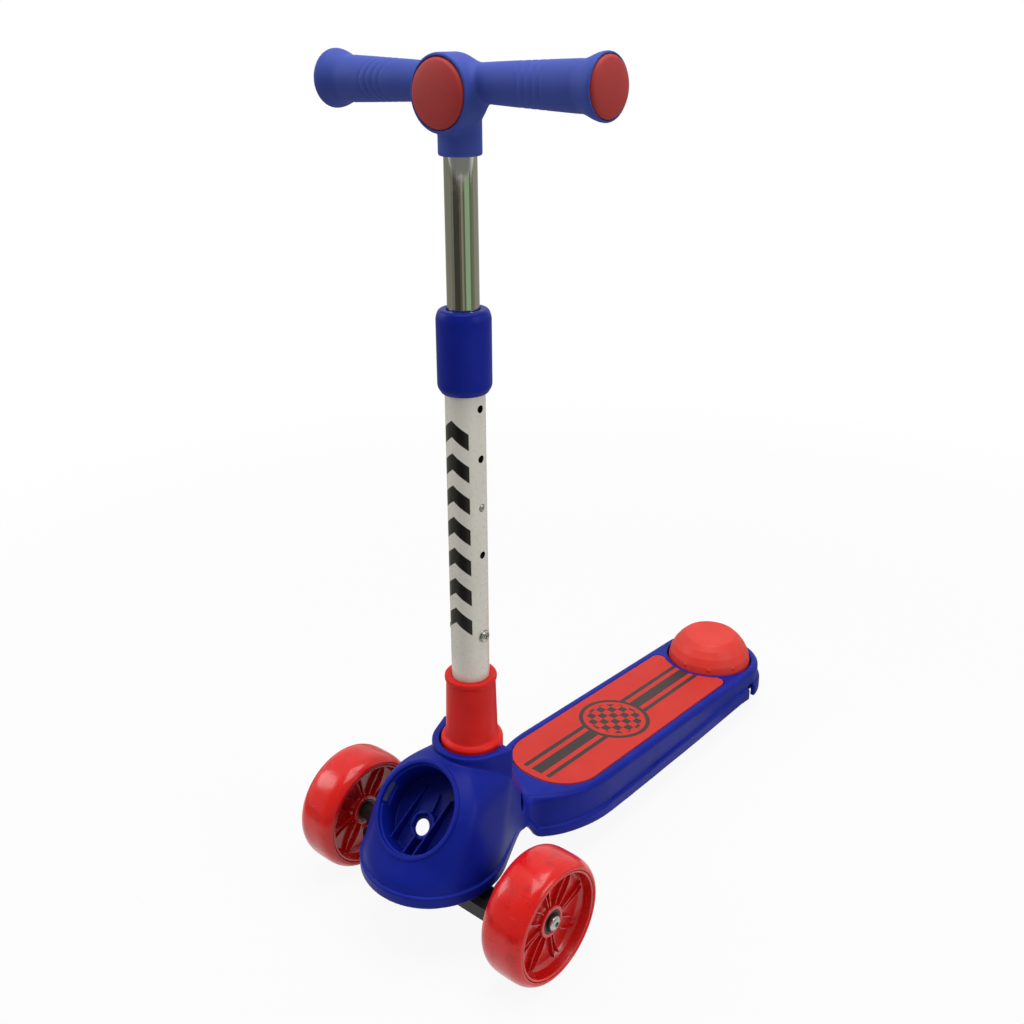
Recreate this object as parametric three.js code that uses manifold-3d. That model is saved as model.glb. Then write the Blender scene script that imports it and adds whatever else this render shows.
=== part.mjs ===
// Three wheel kids scooter: lean-to-steer front truck, height-adjustable T-bar, rear foot brake.
// Millimetres, +Z up, the scooter rolls towards -Y and the rider's left is +X.
import * as THREE from 'three';
import { mergeVertices } from 'three/addons/utils/BufferGeometryUtils.js';
import { ConvexGeometry } from 'three/addons/geometries/ConvexGeometry.js';
import Module from 'manifold-3d';

const wasm = await Module();
wasm.setup();

// Clearances
const seatGap = 0.3;        // between two pieces that touch
const runGap = 0.5;         // between two pieces that turn or slide past each other
const overrun = 3;          // how far a cut runs past the face it opens
const weld = 0.0001;        // vertices closer than this are one

// Front wheels, truck and kingpin
const wheelRadius = 60;
const wheelWidth = 46;
const wheelTrackHalf = 121.5;
const axleForward = 45.4;
const treadEdge = 5;
const edgeShare = 0.3;
const rimRadius = 51;
const hubFaceInset = 8.5;
const hubRingRadius = 15;
const webHalf = 6;
const ribCount = 12;
const ribThick = 1.8;
const ribTopInset = 10.5;
const bearingRadius = 11;
const bearingWidth = 7;
const axleRadius = 4;
const axleHeadRadius = 6;
const axleHeadHeight = 4.6;
const headCrownShare = 0.6;
const axleInBeam = 79;
const bearingStop = 1.5;
const beamHalf = 94;
const beamFront = 66;
const beamBack = 38;
const beamBottom = 32;
const beamTop = 56;
const beamEdge = 5;
const endBossRadius = 13;
const endBossLength = 20;
const endStubRadius = 8;
const kingpinRise = THREE.MathUtils.degToRad(42.8);
const kingpinRadius = 5;
const kingpinHeadRadius = 8;
const kingpinHeadHeight = 5;
const eyeRadius = 12;
const eyeStart = 42;
const eyeLength = 24;
const bushRadius = 8;
const lugRadius = 11;
const lugLength = 11.5;
const armHalf = 12;
const webPlateHalf = 6;
const bumperOffset = 40;
const bumperForward = 58;
const bumperRadius = 7.5;
const postRadius = 8;
const postBottom = 72;

// Bell, the round front body that is one moulding with the deck
const bellWall = 3;
const bellForward = 56;
const bellRadius = 68;
const bellBottom = 69;
const bellTailBack = 20;
const bellTailRadius = 36;
const lipReach = 3;
const lipHeight = 10;
const bossRadius = 38.7;
const bossFoot = 152;
const bossRise = 20;
const bossTop = bossFoot + bossRise;
const bossBackHalf = 45;
const bossBack = 9;
const bossBackFoot = 144;
const bossInnerRadius = 31.5;
const bossSeatDepth = 12;
const bossFloor = bossTop - bossSeatDepth;
const swellRadius = 58;
const swellDepth = 15;
const recessForward = 78.5;
const recessHeight = 133.7;
const recessRimRadius = 45.9;
const recessRadius = 42;
const recessDepth = 31;
const recessFloorThick = 2.5;
const recessRibDepth = 22;
const recessRibSpacing = 15;
const recessRibThick = 1.8;
const recessRibShares = [0.45, 0.3, 0.3];
const hexBossRadius = 12.5;
const hexBossDepth = 20;
const hexPocketRadius = 11.2;
const hexPocketDeep = 8;
const hexHoleRadius = 7.7;
const hexFromRecessAxis = 12.2;
const bayonetWidth = 20;
const bayonetDepth = 9;
const bayonetTop = 3.5;
const socketRadius = 22.5;
const socketBottom = 88;
const socketFloor = 4;

// Deck
const deckFront = 71;
const deckHalf = 61.5;
const deckCorner = 45;
const deckTopAtColumn = 81.5;
const deckFall = 0.05;
const deckWall = 3;
const deckLipTop = 44.6;
const deckLipFall = 0.008;
const deckLipBottom = 33;
const deckBottomFall = 0.02;
const deckEdge = 4;
const neckHalf = 36;
const neckStart = 30;
const neckEnd = 92;
const slotBack = 30;
const slotLength = 5;
const slotBottom = 82;
const slotTop = 101;
const deckRibThick = 2.4;
const deckRibDepth = 14;
const deckRibCount = 4;
const matFront = 88;
const matBack = 402;
const matHalf = 50.5;
const matCorner = 39;
const matRearCorner = 9;
const matThick = 2.4;
const matProud = 0.6;

// Rear wheel and foot brake
const rearWheelBack = 446;
const rearWheelRadius = 40;
const rearWheelWidth = 30;
const rearTreadEdge = 4;
const rearRimRadius = 32;
const rearWebHalf = 5;
const wellRadius = 52.5;
const wellFloorTop = 40;
const wellFloorThick = 3;
const wheelSlotSide = 2;
const axleBlockThick = 7;
const axleBlockLength = 20;
const axleBlockBottom = 28;
const axleBlockTop = 50;
const domeRadius = 51;
const domeBottom = 46;
const domeTop = 90;
const domeFlatRadius = 31;
const domeWall = 2.6;
const domeSideShares = [[0, 0], [0, 0.3], [0.13, 0.5], [0.35, 0.72], [0.78, 0.91], [1, 1]];
const padRadius = 12;
const padThick = 1.8;
const guideOffset = 35;
const guideStagger = 14.5;
const guideRadius = 3;
const guideBottom = 37;
const guideCollarHeight = 67;
const guideCollarThick = 3;
const brakeSpringRadius = 5.4;
const brakeSpringBore = 3.8;
const screwHeadRadius = 6;
const screwHeadHeight = 3;

// Column
const lowerTubeRadius = 17.75;
const lowerTubeWall = 1.6;
const lowerTubeTop = 590;
const upperTubeRadius = 13.9;
const upperTubeWall = 1.5;
const buttonHeight = 415;
const tubeBelowButton = 70;
const upperTubeBottom = buttonHeight - tubeBelowButton;
const holePitch = 46;
const holesAbove = 2;
const holesBelow = 1;
const holeRadius = 3.6;
const buttonRadius = 3.1;
const buttonProud = 0.9;
const clipWidth = 8;
const clipThick = 0.9;
const clipDrop = 32;
const clipReach = 11.2;
const glideLength = 45;
const footBushLength = 22;
const stemWall = 1.5;
const columnBoltRadius = 3;
const columnBoltHeadRadius = 5.2;
const columnBoltHeadHeight = 3;
const sleeveBottom = 514;
const sleeveTop = 597;
const sleeveRadius = 24;
const sleeveFootRadius = 20.5;
const sleeveChamfer = 8;
const sleeveShoulder = 8;
const collarRadius = 23.5;
const collarFootRadius = 24.8;
const collarLipRadius = 24.6;
const collarLipHeight = 5;
const collarFlangeRadius = 30;
const collarFlangeDrop = 1;
const collarFlangeTop = bossTop - collarFlangeDrop;
const collarRise = 71;
const collarTop = collarFlangeTop + collarRise;
const columnBoltAboveCollar = 45;
const columnBoltHeight = collarTop + columnBoltAboveCollar;
const stemAboveBolt = 9;
const stemTop = columnBoltHeight + stemAboveBolt;

// Handlebar
const barHeight = 775.8;
const gripInnerRadius = 16.4;
const gripOuterRadius = 19.7;
const gripStart = 20;
const flareRadius = 25;
const barHalf = 147;
const flareLength = 19;
const flareStart = barHalf - flareLength;
const plugRadius = 22.8;
const plugDepth = 4;
const plugDome = 5;
const hubBelowBar = 6.8;
const hubHeight = barHeight - hubBelowBar;
const hubRadius = 31;
const hubFront = 25;
const hubBack = 9;
const hubBackDome = 20;
const capRadius = 28.2;
const capDepth = 4;
const capDome = 8;
const crownShares = [[1, 0], [0.95, 0.4], [0.75, 0.78], [0.4, 0.96]];
const neckRadius = 18;
const neckLength = 50;
const neckBarBottom = hubHeight - neckLength;
const crossTubeRadius = 11;
const crossTubeWall = 1.5;
const crossTubeInset = 9;
const crossTubeHalf = barHalf - crossTubeInset;

// Facets round a turned piece
const fine = 28;
const middle = 20;
const coarse = 12;
const hexagon = 6;
const cornerFacets = 6;

// Paint, plastic and metal
const finish = (color, roughness, metalness) =>
  new THREE.MeshStandardMaterial({ color, roughness, metalness });
const bluePlastic = finish(0x1a2a8c, 0.42, 0);
const gripBlue = finish(0x3a4a96, 0.62, 0);
const redPlastic = finish(0xd2362c, 0.42, 0);
const redRubber = finish(0xcf3329, 0.75, 0);
const redCap = finish(0x963a37, 0.6, 0);
const wheelUrethane = finish(0xd3180f, 0.15, 0);
const wheelCore = finish(0x9a0b0b, 0.35, 0);
const whitePaint = finish(0xd8d4ca, 0.35, 0);
const chrome = finish(0xb9bbb8, 0.12, 1);
const steel = finish(0xa9abad, 0.3, 1);
const blackNylon = finish(0x1e1b1c, 0.55, 0);
const blackRubber = finish(0x181818, 0.85, 0);

// A closed solid from a three.js geometry: shared vertices, no flat triangles, faces outward
function solid(geometry) {
  const bare = new THREE.BufferGeometry();
  bare.setAttribute('position', geometry.getAttribute('position'));
  if (geometry.index) bare.setIndex(geometry.index);
  const merged = mergeVertices(bare, weld);
  const vertProperties = new Float32Array(merged.getAttribute('position').array);
  const source = merged.index.array;
  const kept = [];
  let volume = 0;
  const [a, b, c] = [new THREE.Vector3(), new THREE.Vector3(), new THREE.Vector3()];
  for (let i = 0; i < source.length; i += 3) {
    const [p, q, r] = [source[i], source[i + 1], source[i + 2]];
    if (p === q || q === r || r === p) continue;
    kept.push([p, q, r]);
    a.fromArray(vertProperties, 3 * p);
    b.fromArray(vertProperties, 3 * q);
    c.fromArray(vertProperties, 3 * r);
    volume += a.dot(b.cross(c));
  }
  const ordered = volume < 0 ? kept.map(([p, q, r]) => [p, r, q]) : kept;
  const triVerts = new Uint32Array(ordered.flat());
  return new wasm.Manifold(new wasm.Mesh({ numProp: 3, vertProperties, triVerts }));
}

const join = (first, ...others) => others.reduce((sum, other) => sum.add(other), first);
const cut = (body, ...tools) => tools.reduce((rest, tool) => rest.subtract(tool), body);

// A named mesh from a solid
function piece(name, body, material) {
  const { vertProperties, triVerts } = body.getMesh();
  const geometry = new THREE.BufferGeometry();
  geometry.setAttribute('position', new THREE.BufferAttribute(new Float32Array(vertProperties), 3));
  geometry.setIndex(new THREE.BufferAttribute(new Uint32Array(triVerts), 1));
  geometry.computeVertexNormals();
  const mesh = new THREE.Mesh(geometry, material);
  mesh.name = name;
  return mesh;
}

// A solid of revolution about Z from [radius, height] pairs, closed on itself or on the axis
function turned(outline, facets = middle) {
  const points = outline.map(([radius, height]) => new THREE.Vector2(radius, height));
  const first = points[0];
  const last = points[points.length - 1];
  if (first.x > 0 || last.x > 0) points.push(first.clone());
  return solid(new THREE.LatheGeometry(points, facets).rotateX(Math.PI / 2));
}

// A round bar or a tube between two points
function bar(radius, from, to, facets = middle) {
  const run = new THREE.Vector3().subVectors(to, from);
  const geometry = new THREE.CylinderGeometry(radius, radius, run.length(), facets);
  const lean = new THREE.Quaternion().setFromUnitVectors(
    new THREE.Vector3(0, 1, 0), run.clone().normalize());
  geometry.applyQuaternion(lean);
  const centre = new THREE.Vector3().addVectors(from, to).multiplyScalar(0.5);
  return solid(geometry.translate(centre.x, centre.y, centre.z));
}
const at = (x, y, z) => new THREE.Vector3(x, y, z);
const upright = (radius, x, y, low, high, facets = middle) =>
  bar(radius, at(x, y, low), at(x, y, high), facets);
const ring = (outer, inner, low, high, facets = middle) =>
  turned([[inner, low], [outer, low], [outer, high], [inner, high]], facets);
const nutRing = (outer, inner, low, high) => cut(upright(outer, 0, 0, low, high, hexagon),
  upright(inner, 0, 0, low - overrun, high + overrun, coarse));

// A box from its two corners
function block(low, high) {
  const size = new THREE.Vector3().subVectors(high, low);
  const centre = new THREE.Vector3().addVectors(low, high).multiplyScalar(0.5);
  return solid(new THREE.BoxGeometry(size.x, size.y, size.z).translate(centre.x, centre.y, centre.z));
}

const hull = (points) => solid(new ConvexGeometry(points));

// Points round a circle that lies flat at a height
function circle(x, y, z, radius, facets = middle) {
  const points = [];
  for (let i = 0; i < facets; i += 1) {
    const angle = (2 * Math.PI * i) / facets;
    points.push(at(x + radius * Math.cos(angle), y + radius * Math.sin(angle), z));
  }
  return points;
}

// A flat shape in Y and Z, extruded across X
function sidePlate(corners, half) {
  const shape = new THREE.Shape(corners.map(([y, z]) => new THREE.Vector2(y, z)));
  const geometry = new THREE.ExtrudeGeometry(shape, { depth: 2 * half, bevelEnabled: false });
  geometry.translate(0, 0, -half);
  // the shape's plane turns into Y and Z, its depth into X
  geometry.applyMatrix4(new THREE.Matrix4().set(0, 0, 1, 0, 1, 0, 0, 0, 0, 1, 0, 0, 0, 0, 0, 1));
  return solid(geometry);
}

// The deck's plan outline, a given reach outside its wall
function deckShape(reach) {
  const half = deckHalf + reach;
  const corner = deckCorner + reach;
  const front = deckFront - reach;
  const shape = new THREE.Shape();
  shape.moveTo(half, front + corner);
  shape.lineTo(half, rearWheelBack);
  shape.absarc(0, rearWheelBack, half, 0, Math.PI / 2, false);
  shape.absarc(0, rearWheelBack, half, Math.PI / 2, Math.PI, false);
  shape.lineTo(-half, front + corner);
  shape.absarc(-half + corner, front + corner, corner, Math.PI, 1.5 * Math.PI, false);
  shape.absarc(half - corner, front + corner, corner, 1.5 * Math.PI, 2 * Math.PI, false);
  return shape;
}

// Heights along the deck: its top, and its lip's upper and lower line
const deckTop = (y) => deckTopAtColumn - deckFall * y;
const lipTop = (y) => deckLipTop - deckLipFall * y;
const lipBottom = (y) => deckLipBottom - deckBottomFall * y;

// A slab whose bottom and top follow two heights along Y
function draped(shape, low, high, facets = cornerFacets) {
  const geometry = new THREE.ExtrudeGeometry(shape, {
    depth: 1, bevelEnabled: false, curveSegments: facets,
  });
  const position = geometry.getAttribute('position');
  for (let i = 0; i < position.count; i += 1) {
    const y = position.getY(i);
    position.setZ(i, low(y) + (high(y) - low(y)) * position.getZ(i));
  }
  return solid(geometry);
}

// The kingpin's frame: local Z runs up and forward along the pin, origin where the hex boss starts
const pinUp = at(0, -Math.cos(kingpinRise), Math.sin(kingpinRise));
const pinAcross = at(0, Math.sin(kingpinRise), Math.cos(kingpinRise));
const recessCentre = at(0, -recessForward, recessHeight);
const hexStart = recessCentre.clone()
  .addScaledVector(pinUp, -hexBossDepth)
  .addScaledVector(pinAcross, -hexFromRecessAxis);
const onPin = (depth, across = 0) => hexStart.clone()
  .addScaledVector(pinUp, -depth)
  .addScaledVector(pinAcross, across);
const onRecess = (depth) => recessCentre.clone().addScaledVector(pinUp, -depth);
const pinBar = (radius, from, to, facets) => bar(radius, onPin(from), onPin(to), facets);
const pinRing = (outer, inner, from, to, facets) => cut(pinBar(outer, from, to, facets),
  pinBar(inner, from - overrun, to + overrun, coarse));
const toSide = (point) => [point.y, point.z];
const upperLugStart = eyeStart - runGap - lugLength;
const upperLugEnd = eyeStart - runGap;
const lowerLugStart = eyeStart + eyeLength + runGap;
const lowerLugEnd = lowerLugStart + lugLength;

// Points of the circle round the front recess, a depth below its rim
function recessCircle(radius, depth, facets = fine) {
  const centre = onRecess(depth);
  const points = [];
  for (let i = 0; i < facets; i += 1) {
    const angle = (2 * Math.PI * i) / facets;
    points.push(centre.clone()
      .addScaledVector(pinAcross, radius * Math.cos(angle))
      .add(at(radius * Math.sin(angle), 0, 0)));
  }
  return points;
}

// The column boss in plan: round in front, widening to two corners behind
const bossFront = (height, inset) =>
  circle(0, 0, height, bossRadius - inset, fine).filter((point) => point.y < bossBack - inset);
const bossCorners = (height, inset) => [-1, 1].map((side) =>
  at(side * (bossBackHalf - inset), bossBack - inset, height));

// The bell's outer or inner form, the wall's thickness inside the outer one
function bellForm(inset, bottom) {
  const lipLine = bellBottom + lipHeight;
  return hull([
    ...circle(0, -bellForward, bottom, bellRadius - inset, fine),
    ...circle(0, -bellForward, lipLine, bellRadius - inset, fine),
    ...circle(0, bellTailBack, bottom, bellTailRadius - inset, middle),
    ...circle(0, bellTailBack, lipLine, bellTailRadius - inset, middle),
    ...bossFront(bossFoot - inset, inset),
    ...bossCorners(bossBackFoot - inset, inset),
    ...circle(0, 0, bossFloor - inset, collarFlangeRadius - inset, middle),
    ...recessCircle(swellRadius - inset, swellDepth),
    ...recessCircle(recessRimRadius - inset, inset),
  ]);
}

// The blue moulding: bell, column socket, front recess, neck, deck and rear wheel well
function deckShell() {
  const bellLip = hull([bellBottom, bellBottom + lipHeight].flatMap((height) => [
    ...circle(0, -bellForward, height, bellRadius + lipReach, fine),
    ...circle(0, bellTailBack, height, bellTailRadius + lipReach, middle),
  ]));
  const boss = hull([bossBackFoot - bellWall, bossTop].flatMap((height) => [
    ...bossFront(height, 0), ...bossCorners(height, 0),
  ]));
  const bell = join(bellForm(0, bellBottom), bellLip, boss);

  const neckSection = (inset, y, low, high) => [-1, 1].flatMap((side) => [
    at(side * (neckHalf - inset), y, low), at(side * (neckHalf - inset), y, high - inset),
  ]);
  const neckForm = (inset, drop) => hull([
    ...neckSection(inset, neckStart - inset, bellBottom - drop, deckTop(neckStart)),
    ...neckSection(inset, neckEnd + inset, lipBottom(neckEnd) - drop, deckTop(neckEnd)),
  ]);

  const side = draped(deckShape(0), lipBottom, (y) => deckTop(y) - deckEdge);
  const crown = draped(deckShape(-deckEdge), lipBottom, deckTop);
  const lip = draped(deckShape(lipReach), lipBottom, lipTop);
  const hollow = draped(deckShape(-deckWall), (y) => lipBottom(y) - overrun,
    (y) => deckTop(y) - deckWall - matThick);

  const outside = join(bell, neckForm(0, 0), side, crown, lip);
  const inside = join(bellForm(bellWall, bellBottom - overrun),
    neckForm(bellWall, overrun), hollow);

  // what stands in the hollow
  const socket = upright(socketRadius, 0, 0, socketBottom, bossTop - overrun);
  const cup = bar(recessRadius + bellWall, onRecess(0), onRecess(recessDepth + recessFloorThick), fine);
  const upperLug = pinBar(lugRadius, upperLugStart, upperLugEnd);
  const lowerLug = pinBar(lugRadius, lowerLugStart, lowerLugEnd);
  const socketInside = socketRadius - bellWall;
  const pinTopRoom = upperLugStart - lugRadius + bellWall;
  const upperWeb = sidePlate([
    [-socketInside, recessHeight - recessRimRadius / 3],
    toSide(onPin(pinTopRoom, eyeRadius)),
    toSide(onPin(upperLugStart, lugRadius - bellWall)),
    toSide(onPin(upperLugEnd, -lugRadius / 2)),
    toSide(onPin(upperLugEnd, eyeRadius + 2 * runGap)),
    [-socketInside, socketBottom + bellWall],
  ], webPlateHalf);
  const lowerWeb = sidePlate([
    toSide(onPin(eyeStart + eyeLength / 2, eyeRadius + 4 * runGap)),
    toSide(onPin(lowerLugStart, eyeRadius + 2 * runGap)),
    toSide(onPin(lowerLugStart, -lugRadius / 2)),
    toSide(onPin(lowerLugEnd, -lugRadius / 2)),
    toSide(onPin(lowerLugEnd, lugRadius)),
    [socketInside / 2, socketBottom + bellWall],
    [-socketInside, socketBottom + bellWall],
  ], webPlateHalf);
  const posts = [-1, 1].map((end) => upright(postRadius, end * bumperOffset, -bumperForward,
    postBottom, recessHeight - recessRadius / 2, coarse));

  // deck ribs and the rear wheel's well
  const ribStep = (matBack - neckEnd) / (deckRibCount + 1);
  const ribs = [];
  for (let i = 1; i <= deckRibCount; i += 1) {
    const y = neckEnd + i * ribStep;
    const top = deckTop(y) - deckWall - matThick + deckRibThick / 2;
    ribs.push(block(at(-deckHalf + deckWall / 2, y, top - deckRibDepth),
      at(deckHalf - deckWall / 2, y + deckRibThick, top)));
  }
  const spineTop = deckTop(matBack) - matThick - deckWall;
  ribs.push(hull([-1, 1].flatMap((end) => [neckEnd, matBack].flatMap((y) => [
    at((end * deckRibThick) / 2, y, deckTop(y) - deckWall - matThick + deckRibThick / 2),
    at((end * deckRibThick) / 2, y, spineTop - deckRibDepth),
  ]))));
  const wellFloor = upright(deckHalf - deckWall / 2, 0, rearWheelBack,
    wellFloorTop - wellFloorThick, wellFloorTop, fine);
  const wellWall = cut(
    upright(wellRadius + deckWall, 0, rearWheelBack, wellFloorTop - wellFloorThick,
      deckTop(rearWheelBack) - deckWall, fine));
  const blockInner = rearWheelWidth / 2 + wheelSlotSide;
  const axleBlocks = [-1, 1].map((end) => {
    const xs = [end * blockInner, end * (blockInner + axleBlockThick)].sort((p, q) => p - q);
    return block(at(xs[0], rearWheelBack - axleBlockLength / 2, axleBlockBottom),
      at(xs[1], rearWheelBack + axleBlockLength / 2, axleBlockTop));
  });
  const well = upright(wellRadius, 0, rearWheelBack, wellFloorTop, bossTop, fine);
  const wheelSlot = block(
    at(-blockInner, rearWheelBack - rearWheelRadius - wheelSlotSide, 0),
    at(blockInner, rearWheelBack + rearWheelRadius + wheelSlotSide, bossTop));
  const guideHoles = [-1, 1].map((end) => upright(guideRadius + runGap,
    end * guideOffset, rearWheelBack + end * guideStagger, 0, bossTop, coarse));
  const rearAxleHole = bar(axleRadius + seatGap,
    at(-deckHalf + 2 * deckWall, rearWheelBack, rearWheelRadius),
    at(deckHalf - 2 * deckWall, rearWheelBack, rearWheelRadius), coarse);
  const headRooms = [-1, 1].map((end) => bar(axleHeadRadius + 2 * runGap,
    at(end * (blockInner + axleBlockThick), rearWheelBack, rearWheelRadius),
    at(end * (deckHalf - deckWall), rearWheelBack, rearWheelRadius), coarse));
  const accessHeight = rearWheelRadius + axleRadius / 2;
  const access = [-1, 1].map((end) => {
    const xs = [end * (deckHalf - 3 * deckWall), end * (deckHalf + 2 * lipReach)].sort((p, q) => p - q);
    return block(at(xs[0], rearWheelBack - axleHeadRadius, 0),
      at(xs[1], rearWheelBack + axleHeadRadius, accessHeight));
  });

  let body = cut(outside, inside);
  body = join(body, socket, cup.intersect(outside), upperLug, lowerLug, upperWeb, lowerWeb,
    ...posts.map((post) => post.intersect(outside)), ...ribs, wellFloor, wellWall);
  body = cut(body, well, wheelSlot);
  body = join(body, ...axleBlocks);
  body = cut(body, ...guideHoles, rearAxleHole, ...headRooms, ...access);

  // the front recess with its ribs, hex boss and the two notches of its missing cover
  body = cut(body, bar(recessRadius, onRecess(-overrun), onRecess(recessDepth), fine));
  const recessFloorEnd = recessDepth + recessFloorThick;
  const ribLow = hexFromRecessAxis + recessRadius;
  const ribPlate = (share) => {
    const reachHigh = recessRadius * share;
    const corners = [
      toSide(onRecess(recessRibDepth).addScaledVector(pinAcross, -ribLow)),
      toSide(onRecess(recessRibDepth).addScaledVector(pinAcross, reachHigh)),
      toSide(onRecess(recessFloorEnd - seatGap).addScaledVector(pinAcross, reachHigh)),
      toSide(onRecess(recessFloorEnd - seatGap).addScaledVector(pinAcross, -ribLow)),
    ];
    return sidePlate(corners, recessRibThick / 2);
  };
  const insideCup = bar(recessRadius + bellWall / 2, onRecess(0), onRecess(recessFloorEnd), fine);
  recessRibShares.forEach((share, i) => {
    const plate = ribPlate(share).translate([(i - 1) * recessRibSpacing, 0, 0]);
    body = join(body, plate.intersect(insideCup));
  });
  const floorInPin = recessFloorEnd - hexBossDepth;
  body = join(body, pinBar(hexBossRadius, 0, floorInPin));
  body = cut(body, pinBar(hexPocketRadius, -overrun, hexPocketDeep, hexagon),
    pinBar(hexHoleRadius, -overrun, floorInPin + overrun));
  const notches = [-1, 1].map((end) => {
    const xs = [end * (recessRadius - bellWall), end * (recessRimRadius + 2 * bellWall)].sort((p, q) => p - q);
    const low = onRecess(bayonetTop + bayonetDepth);
    const centre = onRecess(bayonetTop);
    return hull([xs[0], xs[1]].flatMap((x) => [low, centre].flatMap((place) => [-1, 1].map((way) =>
      place.clone().addScaledVector(pinAcross, (way * bayonetWidth) / 2).add(at(x, 0, 0))))));
  });
  body = cut(body, ...notches);

  // column socket, collar seat, kingpin bores, side slots and the mat's pocket
  body = cut(body,
    upright(lowerTubeRadius + seatGap, 0, 0, socketBottom + socketFloor, bossTop + overrun),
    upright(bossInnerRadius, 0, 0, bossFloor, bossTop + overrun, fine),
    pinBar(kingpinRadius + seatGap, upperLugStart - overrun, lowerLugEnd + overrun, coarse));
  const slots = [-1, 1].map((end) => {
    const xs = [end * (neckHalf - 3 * bellWall), end * (neckHalf + overrun)].sort((p, q) => p - q);
    return block(at(xs[0], slotBack, slotBottom), at(xs[1], slotBack + slotLength, slotTop));
  });
  return cut(body, ...slots, matSolid(seatGap, matThick, overrun));
}

// The mat's outline, and the mat itself between two heights below and above the deck's top
function matShape(reach) {
  const half = matHalf + reach;
  const corner = matCorner + reach;
  const front = matFront - reach;
  const back = matBack + reach;
  const arcRadius = wellRadius + deckWall + lipReach - reach;
  const shape = new THREE.Shape();
  shape.moveTo(half, front + corner);
  shape.lineTo(half, back - matRearCorner);
  shape.absarc(half - matRearCorner, back - matRearCorner, matRearCorner, 0, Math.PI / 2, false);
  const arcEdge = Math.sqrt(arcRadius ** 2 - (rearWheelBack - back) ** 2);
  const sweep = Math.atan2(rearWheelBack - back, arcEdge);
  shape.absarc(0, rearWheelBack, arcRadius, -sweep, Math.PI + sweep, true);
  shape.absarc(-half + matRearCorner, back - matRearCorner, matRearCorner, Math.PI / 2, Math.PI, false);
  shape.lineTo(-half, front + corner);
  shape.absarc(-half + corner, front + corner, corner, Math.PI, 1.5 * Math.PI, false);
  shape.absarc(half - corner, front + corner, corner, 1.5 * Math.PI, 2 * Math.PI, false);
  return shape;
}
const matSolid = (reach, below, above) => draped(matShape(reach),
  (y) => deckTop(y) - below, (y) => deckTop(y) + above);

// The column's fixed pieces
function columnPieces() {
  const tubeInner = lowerTubeRadius - lowerTubeWall;
  const across = lowerTubeRadius + overrun;
  const boltCut = bar(columnBoltRadius + seatGap, at(-across, 0, columnBoltHeight),
    at(across, 0, columnBoltHeight), coarse);
  let tube = ring(lowerTubeRadius, tubeInner, socketBottom + socketFloor + seatGap, lowerTubeTop, middle);
  for (let i = -holesBelow; i <= holesAbove; i += 1) {
    const height = buttonHeight + i * holePitch;
    tube = cut(tube, bar(holeRadius, at(0, 0, height), at(across, 0, height), coarse));
  }
  tube = cut(tube, boltCut);

  const stemOuter = tubeInner - seatGap;
  const stem = cut(ring(stemOuter, stemOuter - stemWall, socketBottom + socketFloor + seatGap, stemTop,
    coarse), boltCut);

  const headStart = lowerTubeRadius + seatGap;
  const headEnd = headStart + columnBoltHeadHeight;
  const bolt = join(
    bar(columnBoltRadius, at(-headEnd - seatGap, 0, columnBoltHeight), at(headStart, 0, columnBoltHeight),
      coarse),
    bar(columnBoltHeadRadius, at(headStart, 0, columnBoltHeight), at(headEnd, 0, columnBoltHeight),
      coarse));
  const socketHead = bar(columnBoltRadius / 2, at(headEnd - columnBoltHeadHeight / 2, 0, columnBoltHeight),
    at(headEnd + overrun, 0, columnBoltHeight), hexagon);
  const nut = cut(
    bar(columnBoltHeadRadius, at(-headEnd, 0, columnBoltHeight), at(-headStart, 0, columnBoltHeight),
      hexagon),
    bar(columnBoltRadius + seatGap, at(-headEnd - overrun, 0, columnBoltHeight),
      at(0, 0, columnBoltHeight), coarse));

  const sleeveBore = lowerTubeRadius + seatGap;
  const sleeveMouth = upperTubeRadius + runGap;
  const sleeve = turned([
    [sleeveBore, sleeveBottom], [sleeveFootRadius, sleeveBottom],
    [sleeveRadius, sleeveBottom + sleeveChamfer], [sleeveRadius, sleeveTop - sleeveShoulder],
    [sleeveRadius - sleeveShoulder / 4, sleeveTop - sleeveShoulder / 4],
    [sleeveRadius - sleeveShoulder / 2, sleeveTop],
    [sleeveMouth, sleeveTop], [sleeveMouth, lowerTubeTop + seatGap], [sleeveBore, lowerTubeTop + seatGap],
  ]);

  const collarBore = lowerTubeRadius + seatGap;
  const collar = turned([
    [collarBore, bossFloor + seatGap], [collarFlangeRadius, bossFloor + seatGap],
    [collarFlangeRadius, collarFlangeTop - seatGap], [collarFlangeRadius - lipReach / 2, collarFlangeTop],
    [collarFootRadius + lipReach / 2, collarFlangeTop + lipReach / 2],
    [collarFootRadius, collarFlangeTop + 2 * lipReach],
    [collarRadius, collarTop - collarLipHeight - lipReach / 2],
    [collarLipRadius, collarTop - collarLipHeight], [collarLipRadius, collarTop - lipReach / 2],
    [collarLipRadius - lipReach / 2, collarTop], [collarBore, collarTop],
  ]);

  const glideOuter = tubeInner - seatGap;
  const glide = ring(glideOuter, upperTubeRadius + runGap / 2, lowerTubeTop - glideLength, lowerTubeTop);
  return [
    piece('lower_tube', tube, whitePaint),
    piece('stem_insert', stem, steel),
    piece('column_bolt', cut(bolt, socketHead), steel),
    piece('column_nut', nut, steel),
    piece('tube_sleeve', sleeve, bluePlastic),
    piece('steering_collar', collar, redPlastic),
    piece('glide_bush', glide, blackNylon),
  ];
}

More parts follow.
